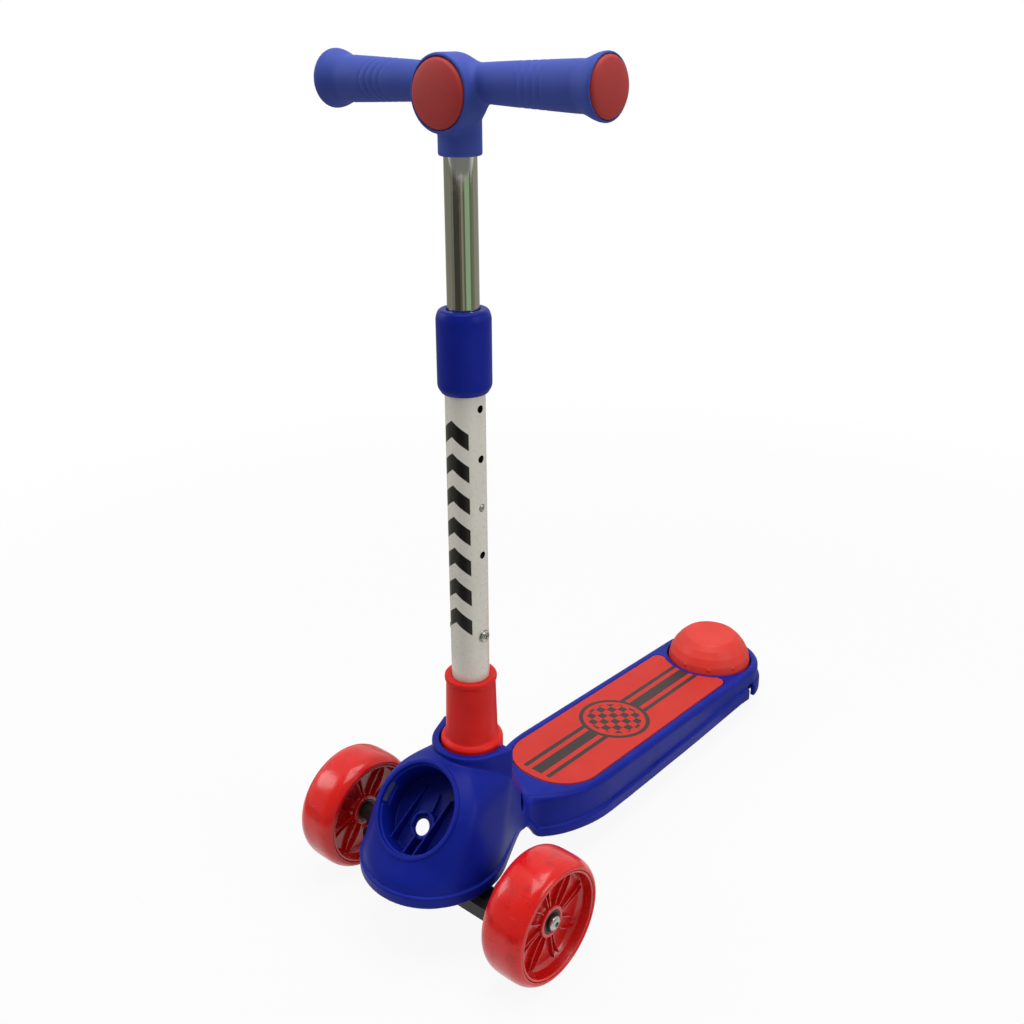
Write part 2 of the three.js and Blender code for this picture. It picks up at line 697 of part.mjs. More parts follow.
// The pieces that rise and drop with the handlebar
function barPieces() {
  const tubeInner = upperTubeRadius - upperTubeWall;
  const tubeTop = barHeight - crossTubeRadius - seatGap;
  const tube = cut(ring(upperTubeRadius, tubeInner, upperTubeBottom, tubeTop),
    bar(holeRadius, at(0, 0, buttonHeight), at(upperTubeRadius + overrun, 0, buttonHeight), coarse));
  const bushOuter = lowerTubeRadius - lowerTubeWall - runGap / 2;
  const footBush = join(
    ring(bushOuter, upperTubeRadius + seatGap, upperTubeBottom - lipReach / 2,
      upperTubeBottom + footBushLength),
    ring(bushOuter, tubeInner - upperTubeWall, upperTubeBottom - lipReach, upperTubeBottom - seatGap));

  // grips and hub in one moulding, turned about the bar's own axis
  const grip = turned([
    [0, 0], [gripInnerRadius, 0], [gripInnerRadius, gripStart],
    [(gripInnerRadius + gripOuterRadius) / 2, (gripStart + flareStart) / 2],
    [gripOuterRadius, flareStart], [gripOuterRadius + (flareRadius - gripOuterRadius) / 4,
      flareStart + (barHalf - flareStart) / 3],
    [flareRadius - (flareRadius - gripOuterRadius) / 4, barHalf - (barHalf - flareStart) / 3],
    [flareRadius, barHalf - lipReach], [flareRadius - lipReach / 3, barHalf], [0, barHalf],
  ], middle);
  const grips = [-1, 1].map((end) => grip.rotate([0, end * 90, 0]).translate([0, 0, barHeight]));
  const hubCore = turned([
    [0, -hubFront], [hubRadius - lipReach / 2, -hubFront], [hubRadius, -hubFront + lipReach / 2],
    ...crownShares.map(([across, along]) => [hubRadius * across, hubBack + hubBackDome * along]),
    [0, hubBack + hubBackDome],
  ]).rotate([-90, 0, 0]).translate([0, 0, hubHeight]);
  const neckPiece = upright(neckRadius, 0, 0, neckBarBottom, hubHeight);
  const plugSeat = (end) => bar(plugRadius + seatGap, at(end * (barHalf - plugDepth), 0, barHeight),
    at(end * (barHalf + overrun), 0, barHeight));
  const capSeat = bar(capRadius + seatGap, at(0, -hubFront + capDepth, hubHeight),
    at(0, -hubFront - overrun, hubHeight));
  const shell = cut(join(neckPiece, hubCore, ...grips),
    bar(crossTubeRadius + seatGap, at(-barHalf - overrun, 0, barHeight), at(barHalf + overrun, 0, barHeight)),
    upright(upperTubeRadius + seatGap, 0, 0, neckBarBottom - overrun, barHeight),
    plugSeat(-1), plugSeat(1), capSeat);

  const crossInner = crossTubeRadius - crossTubeWall;
  const cross = cut(bar(crossTubeRadius, at(-crossTubeHalf, 0, barHeight), at(crossTubeHalf, 0, barHeight)),
    bar(crossInner, at(-barHalf, 0, barHeight), at(barHalf, 0, barHeight)));
  const domed = (radius, low, high, dome) => turned([
    [0, low], [radius, low], ...crownShares.map(([out, up]) => [radius * out, high + dome * up]),
    [0, high + dome],
  ]);
  const plugSpigot = crossInner - seatGap;
  const plug = join(domed(plugRadius, -plugDepth + seatGap, 0, plugDome),
    ring(plugSpigot, plugSpigot - crossTubeWall, crossTubeHalf - barHalf - plugDepth, -plugDepth / 2, coarse));
  const cap = domed(capRadius, -capDepth + seatGap, 0, capDome);
  return [
    piece('upper_tube', tube, chrome),
    piece('foot_bush', footBush, blackNylon),
    piece('handlebar_shell', shell, gripBlue),
    piece('cross_tube', cross, steel),
    piece('left_end_plug', plug.rotate([0, 90, 0]).translate([barHalf, 0, barHeight]), redCap),
    piece('right_end_plug', plug.rotate([0, -90, 0]).translate([-barHalf, 0, barHeight]), redCap),
    piece('hub_cap', cap.rotate([90, 0, 0]).translate([0, -hubFront, hubHeight]), redCap),
  ];
}

// The spring clip of the height lock: a bent leaf with the button riveted to it
function snapClip() {
  const leaf = [
    [clipReach, clipThick * 4], [clipReach, -clipThick * 4], [clipThick, -clipDrop],
    [-clipThick, -clipDrop], [-clipReach, -clipThick * 4], [-clipReach, clipThick * 4],
    [-clipReach + clipThick, clipThick * 4], [-clipReach + clipThick, -clipThick * 4],
    [0, -clipDrop + 3 * clipThick], [clipReach - clipThick, -clipThick * 4],
    [clipReach - clipThick, clipThick * 4],
  ];
  const shape = new THREE.Shape(leaf.map(([x, z]) => new THREE.Vector2(x, z)));
  const geometry = new THREE.ExtrudeGeometry(shape, { depth: clipWidth, bevelEnabled: false });
  geometry.translate(0, 0, -clipWidth / 2).rotateX(Math.PI / 2);
  const end = lowerTubeRadius + buttonProud;
  const button = turned([
    [0, clipReach - clipThick / 2], [buttonRadius, clipReach - clipThick / 2],
    [buttonRadius, end - buttonProud], [buttonRadius / 2, end], [0, end],
  ], coarse).rotate([0, 90, 0]);
  return join(solid(geometry), button).translate([0, 0, buttonHeight]);
}

// One wheel about Z, its outer face up: tyre, core and two bearings
function wheelPieces(side, sizes) {
  const { radius, width, edge, rim, web, ribs } = sizes;
  const half = width / 2;
  const hubHalf = half - hubFaceInset * sizes.insetShare;
  const rimHalf = half - lipReach;
  const tyre = turned([
    [rim + seatGap, -half], [radius - edge, -half], [radius - edge * edgeShare, -half + edge * edgeShare],
    [radius, -half + edge], [radius, half - edge], [radius - edge * edgeShare, half - edge * edgeShare],
    [radius - edge, half], [rim + seatGap, half],
  ], fine);
  const bore = bearingRadius + seatGap;
  const stop = hubHalf - bearingWidth - seatGap;
  const cone = rim - hubRingRadius;
  let core = turned([
    [bore, hubHalf], [hubRingRadius, hubHalf], [hubRingRadius + bearingStop, web + bearingStop],
    [rim - cone / 3, web], [rim - cone / 8, web + edge], [rim - bearingStop, rimHalf], [rim, rimHalf],
    [rim, -rimHalf], [rim - bearingStop, -rimHalf], [rim - cone / 8, -web - edge], [rim - cone / 3, -web],
    [hubRingRadius + bearingStop, -web - bearingStop], [hubRingRadius, -hubHalf], [bore, -hubHalf],
    [bore, -stop], [bearingRadius - bearingStop, -stop], [bearingRadius - bearingStop, stop], [bore, stop],
  ], fine);
  const ribTop = half - ribTopInset * sizes.insetShare;
  for (let i = 0; i < ribs; i += 1) {
    const plate = block(at(hubRingRadius - bearingStop, -ribThick / 2, web - bearingStop),
      at(rim - bearingStop, ribThick / 2, ribTop));
    core = join(core, plate.rotate([0, 0, (360 * i) / ribs]));
  }
  const bearing = (low) => ring(bearingRadius, axleRadius + seatGap, low, low + bearingWidth, coarse);
  return [
    piece(`${side}_tyre`, tyre, wheelUrethane),
    piece(`${side}_wheel_core`, core, wheelCore),
    piece(`${side}_outer_bearing`, bearing(hubHalf - bearingWidth), steel),
    piece(`${side}_inner_bearing`, bearing(-hubHalf), steel),
  ];
}

const frontSizes = {
  radius: wheelRadius, width: wheelWidth, edge: treadEdge, rim: rimRadius, web: webHalf,
  ribs: ribCount, insetShare: 1,
};
const rearSizes = {
  radius: rearWheelRadius, width: rearWheelWidth, edge: rearTreadEdge, rim: rearRimRadius,
  web: rearWebHalf, ribs: hexagon, insetShare: 0.25,
};

// An axle bolt, its bearing spacer and its place on the wheel's axis, head outwards
function axlePieces(side, hubHalf, inner) {
  const headStart = hubHalf + seatGap;
  const headEnd = headStart + axleHeadHeight;
  const bolt = cut(join(
    turned([[0, inner], [axleRadius, inner], [axleRadius, headStart], [0, headStart]], coarse),
    turned([
      [0, headStart - seatGap / 2], [axleHeadRadius, headStart],
      [axleHeadRadius, headEnd - axleHeadHeight / 2], [axleHeadRadius * headCrownShare, headEnd], [0, headEnd],
    ], coarse)),
  upright(axleRadius / 2, 0, 0, headEnd - axleHeadHeight / 2, headEnd + overrun, hexagon));
  const reach = hubHalf - bearingWidth - seatGap;
  const spacer = ring(axleRadius + bearingStop + seatGap, axleRadius + seatGap, -reach, reach, coarse);
  return [piece(`${side}_axle_bolt`, bolt, steel), piece(`${side}_bearing_spacer`, spacer, steel)];
}

// The truck's beam: axle ends, arm and the eye that turns on the kingpin
function truckBeam() {
  const section = (x, inset) => [
    at(x, -beamFront + inset, beamBottom + beamEdge), at(x, -beamFront + beamEdge, beamBottom + inset),
    at(x, -beamBack - beamEdge, beamBottom + inset), at(x, -beamBack - inset, beamBottom + beamEdge),
    at(x, -beamBack - inset, beamTop - beamEdge), at(x, -beamBack - beamEdge, beamTop - inset),
    at(x, -beamFront + beamEdge, beamTop - inset), at(x, -beamFront + inset, beamTop - beamEdge),
  ];
  const beam = hull([-beamHalf, beamHalf].flatMap((x) => section(x, beamEdge / 2))
    .concat([-beamHalf + 2 * beamEdge, beamHalf - 2 * beamEdge].flatMap((x) => section(x, 0))));
  const hubInner = wheelTrackHalf - (wheelWidth / 2 - hubFaceInset) - seatGap;
  const ends = [-1, 1].flatMap((end) => [
    bar(endBossRadius, at(end * (beamHalf - endBossLength), -axleForward, wheelRadius),
      at(end * beamHalf, -axleForward, wheelRadius)),
    bar(endStubRadius, at(end * (beamHalf - endBossLength), -axleForward, wheelRadius),
      at(end * hubInner, -axleForward, wheelRadius)),
  ]);
  const eyeRing = (depth) => {
    const points = [];
    for (let i = 0; i < coarse; i += 1) {
      const angle = (2 * Math.PI * i) / coarse;
      points.push(onPin(depth, eyeRadius * Math.cos(angle))
        .add(at(eyeRadius * Math.sin(angle), 0, 0)));
    }
    return points;
  };
  const arm = hull([
    ...eyeRing(eyeStart + 2 * runGap), ...eyeRing(eyeStart + eyeLength - 2 * runGap),
    ...[-armHalf, armHalf].flatMap((x) => [beamTop - beamEdge, beamTop].flatMap((z) => [
      at(x, -beamFront + 2 * beamEdge, z), at(x, -beamBack - beamEdge / 2, z),
    ])),
  ]);
  const seats = [-1, 1].map((end) => upright(bumperRadius, end * bumperOffset, -bumperForward,
    beamTop - beamEdge, beamTop + seatGap, coarse));
  const axleBore = (end) => bar(axleRadius + seatGap,
    at(end * (axleInBeam - overrun), -axleForward, wheelRadius),
    at(end * (hubInner + overrun), -axleForward, wheelRadius), coarse);
  return cut(join(beam, arm, ...ends, ...seats,
    pinBar(eyeRadius, eyeStart, eyeStart + eyeLength)),
  pinBar(bushRadius + seatGap, eyeStart - overrun, eyeStart + eyeLength + overrun, coarse),
  axleBore(-1), axleBore(1));
}

// The foot brake's red dome with its two guide posts, pad, springs and retaining screws
function brakePieces() {
  // share of the way in to the flat top, share of the way up from the rim
  const outline = (inset) => domeSideShares.map(([inward, up]) => [
    domeRadius - inset - inward * (domeRadius - domeFlatRadius),
    domeBottom + up * (domeTop - inset - domeBottom),
  ]);
  const shell = turned([...outline(0), [0, domeTop], [0, domeTop - domeWall],
    ...outline(domeWall).reverse()]);
  const guides = [-1, 1].flatMap((end) => [
    upright(guideRadius, end * guideOffset, end * guideStagger, guideBottom,
      domeTop - domeFlatRadius / 3, coarse),
    upright(brakeSpringRadius, end * guideOffset, end * guideStagger, guideCollarHeight,
      guideCollarHeight + guideCollarThick, coarse),
  ]);
  const inShell = turned([[0, guideBottom], [domeRadius - domeWall / 2, guideBottom],
    ...outline(domeWall / 2), [0, domeTop - domeWall / 2]]);
  const dome = join(shell, ...guides.map((guide) => guide.intersect(inShell)));
  const pad = upright(padRadius, 0, 0, domeTop - domeWall - seatGap - padThick,
    domeTop - domeWall - seatGap, coarse);
  const springLow = wellFloorTop + seatGap;
  const springs = [-1, 1].map((end) => ring(brakeSpringRadius, brakeSpringBore, springLow,
    guideCollarHeight - seatGap, coarse).translate([end * guideOffset, end * guideStagger, 0]));
  const screws = [-1, 1].map((end) => upright(screwHeadRadius, end * guideOffset,
    end * guideStagger, guideBottom - seatGap - screwHeadHeight, guideBottom - seatGap, coarse));
  return { dome, pad, springs, screws };
}

const group = new THREE.Group();
const noseFront = bellForward + bellRadius + lipReach;
const tailBack = rearWheelBack + deckHalf + lipReach;
group.position.y = (noseFront - tailBack) / 2;

group.add(piece('deck_shell', deckShell(), bluePlastic));
group.add(piece('deck_mat', matSolid(0, matThick - seatGap, matProud), redRubber));
group.add(...columnPieces());
group.add(...barPieces());
group.add(piece('snap_clip', snapClip(), steel));

// kingpin with its head below and nut above
const kingpin = join(
  pinBar(kingpinRadius, upperLugStart - kingpinHeadHeight - seatGap, lowerLugEnd + kingpinHeadHeight / 2,
    coarse),
  pinBar(kingpinHeadRadius, lowerLugEnd + seatGap, lowerLugEnd + seatGap + kingpinHeadHeight, hexagon));
group.add(piece('kingpin', kingpin, steel));
group.add(piece('kingpin_nut', pinRing(kingpinHeadRadius, kingpinRadius + seatGap,
  upperLugStart - kingpinHeadHeight - seatGap, upperLugStart - seatGap, hexagon), steel));
const eyeMiddle = eyeStart + eyeLength / 2;
group.add(piece('upper_kingpin_bush', pinRing(bushRadius, kingpinRadius + seatGap,
  eyeStart, eyeMiddle - seatGap, coarse), blackNylon));
group.add(piece('lower_kingpin_bush', pinRing(bushRadius, kingpinRadius + seatGap,
  eyeMiddle + seatGap, eyeStart + eyeLength, coarse), blackNylon));
group.add(piece('truck_beam', truckBeam(), blackNylon));
for (const [side, end] of [['left', 1], ['right', -1]]) {
  group.add(piece(`${side}_bumper`, upright(bumperRadius, end * bumperOffset, -bumperForward,
    beamTop + 2 * seatGap, postBottom - seatGap, coarse), blackRubber));
  const wheel = new THREE.Group();
  wheel.position.set(end * wheelTrackHalf, -axleForward, wheelRadius);
  wheel.rotation.y = (end * Math.PI) / 2;
  wheel.add(...wheelPieces(side, frontSizes));
  wheel.add(...axlePieces(side, wheelWidth / 2 - hubFaceInset, axleInBeam - wheelTrackHalf));
  group.add(wheel);
}

// rear wheel on its axle bolt
const rear = new THREE.Group();
rear.position.set(0, rearWheelBack, rearWheelRadius);
rear.rotation.y = Math.PI / 2;
rear.add(...wheelPieces('rear', rearSizes));
const rearHubHalf = rearWheelWidth / 2 - hubFaceInset * rearSizes.insetShare;
const blockOuter = rearWheelWidth / 2 + wheelSlotSide + axleBlockThick;
const nutEnd = blockOuter + seatGap + axleHeadHeight;
rear.add(piece('rear_axle_bolt', join(
  upright(axleRadius, 0, 0, -nutEnd, nutEnd - axleHeadHeight / 2, coarse),
  upright(axleHeadRadius, 0, 0, blockOuter + seatGap, nutEnd, coarse)), steel));
rear.add(piece('rear_axle_nut', nutRing(axleHeadRadius, axleRadius + seatGap, -nutEnd,
  -blockOuter - seatGap), steel));
const rearReach = rearHubHalf - bearingWidth - seatGap;
rear.add(piece('rear_bearing_spacer', ring(axleRadius + bearingStop + seatGap, axleRadius + seatGap,
  -rearReach, rearReach, coarse), steel));
const washerInner = rearHubHalf + seatGap;
const washerOuter = rearWheelWidth / 2 + wheelSlotSide - seatGap;
for (const [name, low, high] of [['left', washerInner, washerOuter], ['right', -washerOuter, -washerInner]]) {
  rear.add(piece(`rear_${name}_washer`, ring(axleRadius + bearingStop + seatGap,
    axleRadius + seatGap, low, high, coarse), steel));
}
group.add(rear);

// foot brake over the rear wheel
const brake = new THREE.Group();
brake.position.y = rearWheelBack;
const { dome, pad, springs, screws } = brakePieces();
brake.add(piece('brake_dome', dome, redPlastic));
brake.add(piece('brake_pad', pad, steel));
['right', 'left'].forEach((side, i) => {
  brake.add(piece(`${side}_brake_spring`, springs[i], steel));
  brake.add(piece(`${side}_brake_screw`, screws[i], steel));
});
group.add(brake);

export default group;
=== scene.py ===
# %% [markdown]
# # Dressing a three wheel kids scooter around its CAD frame
#
# The frame holds the scooter's solids and joints. It is loaded first and never moved. Everything
# below builds finer pieces in the same place, gives them their finish, and lets each one ride on
# the body that carries it, so the scooter still leans, rolls, brakes and changes height.

# %% Load the frame
import functools
import math

import bmesh
import bpy
import numpy as np
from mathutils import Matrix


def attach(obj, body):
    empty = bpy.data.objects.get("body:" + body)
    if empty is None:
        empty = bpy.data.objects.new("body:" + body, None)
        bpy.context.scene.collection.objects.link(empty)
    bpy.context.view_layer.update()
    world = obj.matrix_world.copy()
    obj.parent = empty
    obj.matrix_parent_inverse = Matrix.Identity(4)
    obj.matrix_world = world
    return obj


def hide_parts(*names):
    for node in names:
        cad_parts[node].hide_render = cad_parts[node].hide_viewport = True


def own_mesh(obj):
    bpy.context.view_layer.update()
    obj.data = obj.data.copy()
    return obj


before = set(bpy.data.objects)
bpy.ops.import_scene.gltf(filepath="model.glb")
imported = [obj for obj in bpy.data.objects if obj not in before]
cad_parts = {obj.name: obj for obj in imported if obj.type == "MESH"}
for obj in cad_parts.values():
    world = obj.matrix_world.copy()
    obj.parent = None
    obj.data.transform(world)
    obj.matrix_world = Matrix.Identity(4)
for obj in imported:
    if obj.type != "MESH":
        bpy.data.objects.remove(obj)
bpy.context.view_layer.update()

import openvdb
from mathutils import Quaternion, Vector

MM = 0.001
COLUMN_BACK = -191.75

# %% [markdown]
# ## The camera
#
# A photograph fixes where its camera stood. The position, the two angles and the focal length were
# fitted once to the column, the bar, the deck and the wheels. A small shift keeps the scooter where
# the picture has it, because the picture was cropped a little off its centre.

# %% Place the camera
def add(name, data):
    """A new object in the scene, from a camera, a lamp or a mesh."""
    made = bpy.data.objects.new(name, data)
    bpy.context.scene.collection.objects.link(made)
    return made


CAMERA_AT = (0.64616, -0.88601, 0.81635)
CAMERA_TURN, CAMERA_DROP, CAMERA_ROLL = 0.7061, 0.3357, -0.006
FOCAL_PIXELS, PICTURE = 1148.16, 1024
back = Vector((math.sin(CAMERA_TURN) * math.cos(CAMERA_DROP),
               -math.cos(CAMERA_TURN) * math.cos(CAMERA_DROP), math.sin(CAMERA_DROP)))
lens = bpy.data.cameras.new("camera")
lens.sensor_width = 36
lens.lens = FOCAL_PIXELS * lens.sensor_width / PICTURE
lens.shift_x, lens.shift_y = -0.0009, -0.0820
camera = add("camera", lens)
camera.location = CAMERA_AT
camera.rotation_mode = "QUATERNION"
camera.rotation_quaternion = (-back).to_track_quat("-Z", "Y") @ Quaternion((0, 0, 1), CAMERA_ROLL)
bpy.context.scene.camera = camera
print("lens", round(lens.lens, 2), "mm")

# %% [markdown]
# ## Shader arithmetic
#
# A finish is a small sum over the surface: some grain, some wear, a stripe here. Node trees written
# out by hand hide that sum, so one class wraps a socket and turns ordinary operators into Math
# nodes, and one method makes any other node. All lengths in a finish are millimetres.

# %% Wrap sockets
def srgb(red, green, blue):
    """A colour as a screen shows it, 0 to 255, to the linear values that shaders use."""
    shares = [c / 255 for c in (red, green, blue)]
    return (*[s / 12.92 if s <= 0.04045 else ((s + 0.055) / 1.055) ** 2.4 for s in shares], 1.0)


class Value:
    """A socket in an expression: each operator adds the Math node that it stands for."""

    def __init__(self, nodes, socket):
        self.nodes, self.socket = nodes, socket

    def math(self, operation, *terms):
        return self.nodes.node("ShaderNodeMath", {"operation": operation}, terms)

    __add__ = __radd__ = lambda self, other: self.math("ADD", self, other)
    __sub__ = lambda self, other: self.math("SUBTRACT", self, other)
    __rsub__ = lambda self, other: self.math("SUBTRACT", other, self)
    __mul__ = __rmul__ = lambda self, other: self.math("MULTIPLY", self, other)
    __truediv__ = lambda self, other: self.math("DIVIDE", self, other)
    __mod__ = lambda self, other: self.math("FLOORED_MODULO", self, other)
    __abs__ = lambda self: self.math("ABSOLUTE", self)
    root = lambda self: self.math("SQRT", self)
    floor = lambda self: self.math("FLOOR", self)
    higher = lambda self, other: self.math("MAXIMUM", self, other)

    def rise(self, low, high):
        """0 below low, 1 above high, and smooth between them; low may be the larger one."""
        sockets = {"Value": self, "From Min": low, "From Max": high}
        return self.nodes.node("ShaderNodeMapRange", {"interpolation_type": "SMOOTHSTEP"}, sockets)

    def within(self, half, soft):
        """1 where this is nearer to zero than half, with an edge of the given softness."""
        return abs(self).rise(half + soft, half - soft)


print("half grey on a screen is", round(srgb(128, 128, 128)[0], 3), "in light")


# %% Make nodes and finishes
class Nodes:
    """A node tree, and the one way to make a node in it."""

    def __init__(self, tree):
        self.tree = tree

    def join(self, value, socket):
        """Links a value to a socket, or sets the socket to a number, a vector or a colour."""
        if isinstance(value, Value):
            self.tree.links.new(value.socket, socket)
        else:
            socket.default_value = value

    def node(self, kind, settings=(), sockets=(), out=0):
        """Any node: its settings first, then its sockets' values or links; gives one output."""
        made = self.tree.nodes.new(kind)
        for key, value in dict(settings).items():
            setattr(made, key, value)
        for key, value in sockets.items() if isinstance(sockets, dict) else enumerate(sockets):
            self.join(value, made.inputs[key])
        return Value(self, made.outputs[out])

    def seen(self):
        """1 where the camera looks, straight on, by a mirror or through something clear."""
        camera_ray, mirrored, through = [self.node("ShaderNodeLightPath", out=f"Is {kind} Ray")
                                         for kind in ("Camera", "Glossy", "Transmission")]
        return camera_ray.higher(mirrored).higher(through)


# %% Keep one material's nodes together
class Paint(Nodes):
    """A material with one Principled shader, and places on the object in millimetres."""

    def __init__(self, name):
        self.material = bpy.data.materials.new(name)
        self.material.use_nodes = True
        super().__init__(self.material.node_tree)
        self.shader = self.tree.nodes["Principled BSDF"]
        metres = self.node("ShaderNodeTexCoord", out="Object")
        scale = {"Vector": metres, "Scale": 1 / MM}
        self.place = self.node("ShaderNodeVectorMath", {"operation": "SCALE"}, scale)
        self.x, self.y, self.z = [
            self.node("ShaderNodeSeparateXYZ", sockets=[self.place], out=axis) for axis in "XYZ"]

    def noise(self, size, detail=2.0, stretch=None, rough=0.5):
        """Cloudy values from 0 to 1 whose blobs are about size millimetres across."""
        place = self.place
        if stretch:
            place = self.node("ShaderNodeVectorMath", {"operation": "MULTIPLY"}, [place, stretch])
        sockets = {"Vector": place, "Scale": 1 / size, "Detail": detail, "Roughness": rough}
        return self.node("ShaderNodeTexNoise", {}, sockets, "Fac")

    def dots(self, size, radius):
        """Small round spots, one or none in each cell of the given size."""
        cell = self.node("ShaderNodeTexVoronoi", {}, {"Vector": self.place, "Scale": 1 / size})
        return cell.rise(radius / size, 0.5 * radius / size)

    def blend(self, first, second, share):
        """From one colour to another."""
        return self.node("ShaderNodeMix", {"data_type": "RGBA"}, {0: share, 6: first, 7: second}, 2)

    def relief(self, height, depth):
        """Bump from a height of 0 to 1 that stands for depth millimetres."""
        sockets = {"Height": height, "Distance": depth * MM, "Strength": 1.0}
        return self.node("ShaderNodeBump", {}, sockets, "Normal")

    def around(self, across, up):
        """The angle round an axle, in turns from -0.5 to 0.5."""
        return across.math("ARCTAN2", up, across) / (2 * math.pi)

    def finish(self, **sockets):
        """Sets or links the shader's sockets, named with _ for each space."""
        for key, value in sockets.items():
            self.join(value, self.shader.inputs[key.replace("_", " ")])
        return self.material


# %% [markdown]
# ## The studio
#
# The photograph has a white sweep and broad soft light from above. The floor is a pale sheet that
# keeps the contact shadow. White comes from what the camera and the reflections see, not from
# stronger lamps, so colours stay as they are written. The room behind the camera is dimmer than
# the sweep, and dim cards lie round the set, seen by reflections alone, so chrome gets its bands.

# %% Lay the floor and hang the lights
AMBIENT, ROOM = 0.36, 0.30
world = bpy.data.worlds.new("studio")
bpy.context.scene.world = world
world.use_nodes = True
sky = Nodes(world.node_tree)
background = sky.tree.nodes["Background"].inputs
background["Color"].default_value = (1, 1, 1, 1)
facing = sky.node("ShaderNodeVectorMath", {"operation": "DOT_PRODUCT"},
                  [sky.node("ShaderNodeTexCoord", out="Generated"), back], "Value")
room_side = sky.node("ShaderNodeMapRange", {"interpolation_type": "SMOOTHSTEP"}, {
    "Value": facing, "From Min": -0.1, "From Max": 0.55, "To Min": 1.0, "To Max": ROOM})
sky.join(sky.seen() * (room_side - AMBIENT) + AMBIENT, background["Strength"])


def add_mesh(name, verts, faces):
    """A new mesh object from its points and faces."""
    mesh = bpy.data.meshes.new(name)
    mesh.from_pydata(verts, [], faces)
    return add(name, mesh)


def sheet(name, corners, material):
    """A flat sheet from its corners in order, part of the studio."""
    made = add_mesh(name, corners, [range(len(corners))])
    made.data.materials.append(material)
    return made


FLOOR, FLOOR_AT, CARD_AT = 30, -0.0006, 0.0004
floor_paint = Paint("studio_floor")
floor_paint.finish(Base_Color=(0.62, 0.62, 0.62, 1), Roughness=0.9)
floor_glow = floor_paint.node("ShaderNodeEmission", {}, {"Color": (1, 1, 1, 1), "Strength": 1.0})
floor_out = (floor_paint.x * floor_paint.x + floor_paint.y * floor_paint.y).root()
floor_white = floor_out.rise(500, 1700) * 0.08 + 0.92
floor_mix = floor_paint.node("ShaderNodeMixShader", {}, [
    floor_paint.seen() * floor_white, Value(floor_paint, floor_paint.shader.outputs[0]), floor_glow])
floor_paint.join(floor_mix, floor_paint.tree.nodes["Material Output"].inputs[0])
floor_corners = [(-FLOOR, -FLOOR), (FLOOR, -FLOOR), (FLOOR, FLOOR), (-FLOOR, FLOOR)]
sheet("floor", [(*corner, FLOOR_AT) for corner in floor_corners], floor_paint.material)


def lamp(name, place, aim, size, power):
    """A square soft box that hangs at place and faces aim."""
    light = bpy.data.lights.new(name, "AREA")
    light.size, light.energy = size, power
    made = add(name, light)
    made.location = place
    made.rotation_mode = "QUATERNION"
    made.rotation_quaternion = (Vector(aim) - Vector(place)).to_track_quat("-Z", "Y")


lamp("top_box", (0.1, -0.1, 2.3), (0, 0, 0.3), 1.5, 34)
lamp("left_box", (-1.7, -1.1, 1.5), (0, -0.1, 0.3), 0.9, 13)
lamp("right_box", (1.9, 0.2, 1.3), (0, 0, 0.3), 0.9, 11)
bpy.context.scene.view_settings.view_transform = "Standard"
print("floor", floor_paint.material.name, "and three lamps")

# %% Lay the cards that the chrome mirrors
# What the chrome sees of the floor, by the angle from the camera's side: dim, with two pale bands.
NEAR, FAR, ARC_STEPS = 0.42, 29.0, 8
CARDS = [(-180, -75, (0.33, 0.325, 0.26)), (-75, -55, (0.26, 0.26, 0.2)),
         (-55, -15, (0.083, 0.08, 0.062)), (-15, -2, (0.16, 0.145, 0.105)),
         (-2, 12, (0.4, 0.38, 0.28)), (12, 24, (0.18, 0.2, 0.13)), (24, 58, (0.44, 0.65, 0.4)),
         (58, 74, (0.21, 0.25, 0.16)), (74, 92, (0.29, 0.29, 0.22)), (92, 180, (0.42, 0.42, 0.35))]
for place, (start, end, colour) in enumerate(CARDS):
    card_paint = Paint(f"card_floor_{place}")
    card_paint.finish(Base_Color=(0, 0, 0, 1), Specular_IOR_Level=0.0,
                      Emission_Color=(*colour, 1), Emission_Strength=1.0)
    turns = [CAMERA_TURN + math.radians(start + (end - start) * k / ARC_STEPS)
             for k in range(ARC_STEPS + 1)]
    corners = [(NEAR * math.sin(t), COLUMN_BACK * MM - NEAR * math.cos(t), CARD_AT) for t in turns]
    corners += [(FAR * math.sin(t), -FAR * math.cos(t), CARD_AT) for t in reversed(turns)]
    card = sheet(f"card_floor_{place}", corners, card_paint.material)
    for kind in ("camera", "diffuse", "shadow", "transmission"):
        setattr(card, f"visible_{kind}", False)
print(len(CARDS), "cards on the floor")

# %% [markdown]
# ## Turned pieces
#
# Tubes, collars, tyres and caps are round, as if turned on a lathe. Each is one outline of
# distances from the axis and places along it, with its corners softened, swept round the axis.
# Lengths are millimetres from the column's foot, and a last step moves them into the row's frame.

# %% Turn outlines into pieces
def soften(outline, radius, steps=4, closed=False):
    """The outline with each corner replaced by a small curve."""
    points = [Vector(p) for p in outline]
    count = len(points)
    softened = []
    for i, point in enumerate(points):
        if not closed and i in (0, count - 1):
            softened.append(point)
            continue
        way_in, way_out = points[i - 1] - point, points[(i + 1) % count] - point
        reach = min(radius, 0.45 * way_in.length, 0.45 * way_out.length)
        start, end = point + way_in.normalized() * reach, point + way_out.normalized() * reach
        for step in range(steps + 1):
            t = step / steps
            softened.append(start * (1 - t) ** 2 + point * 2 * t * (1 - t) + end * t ** 2)
    return softened


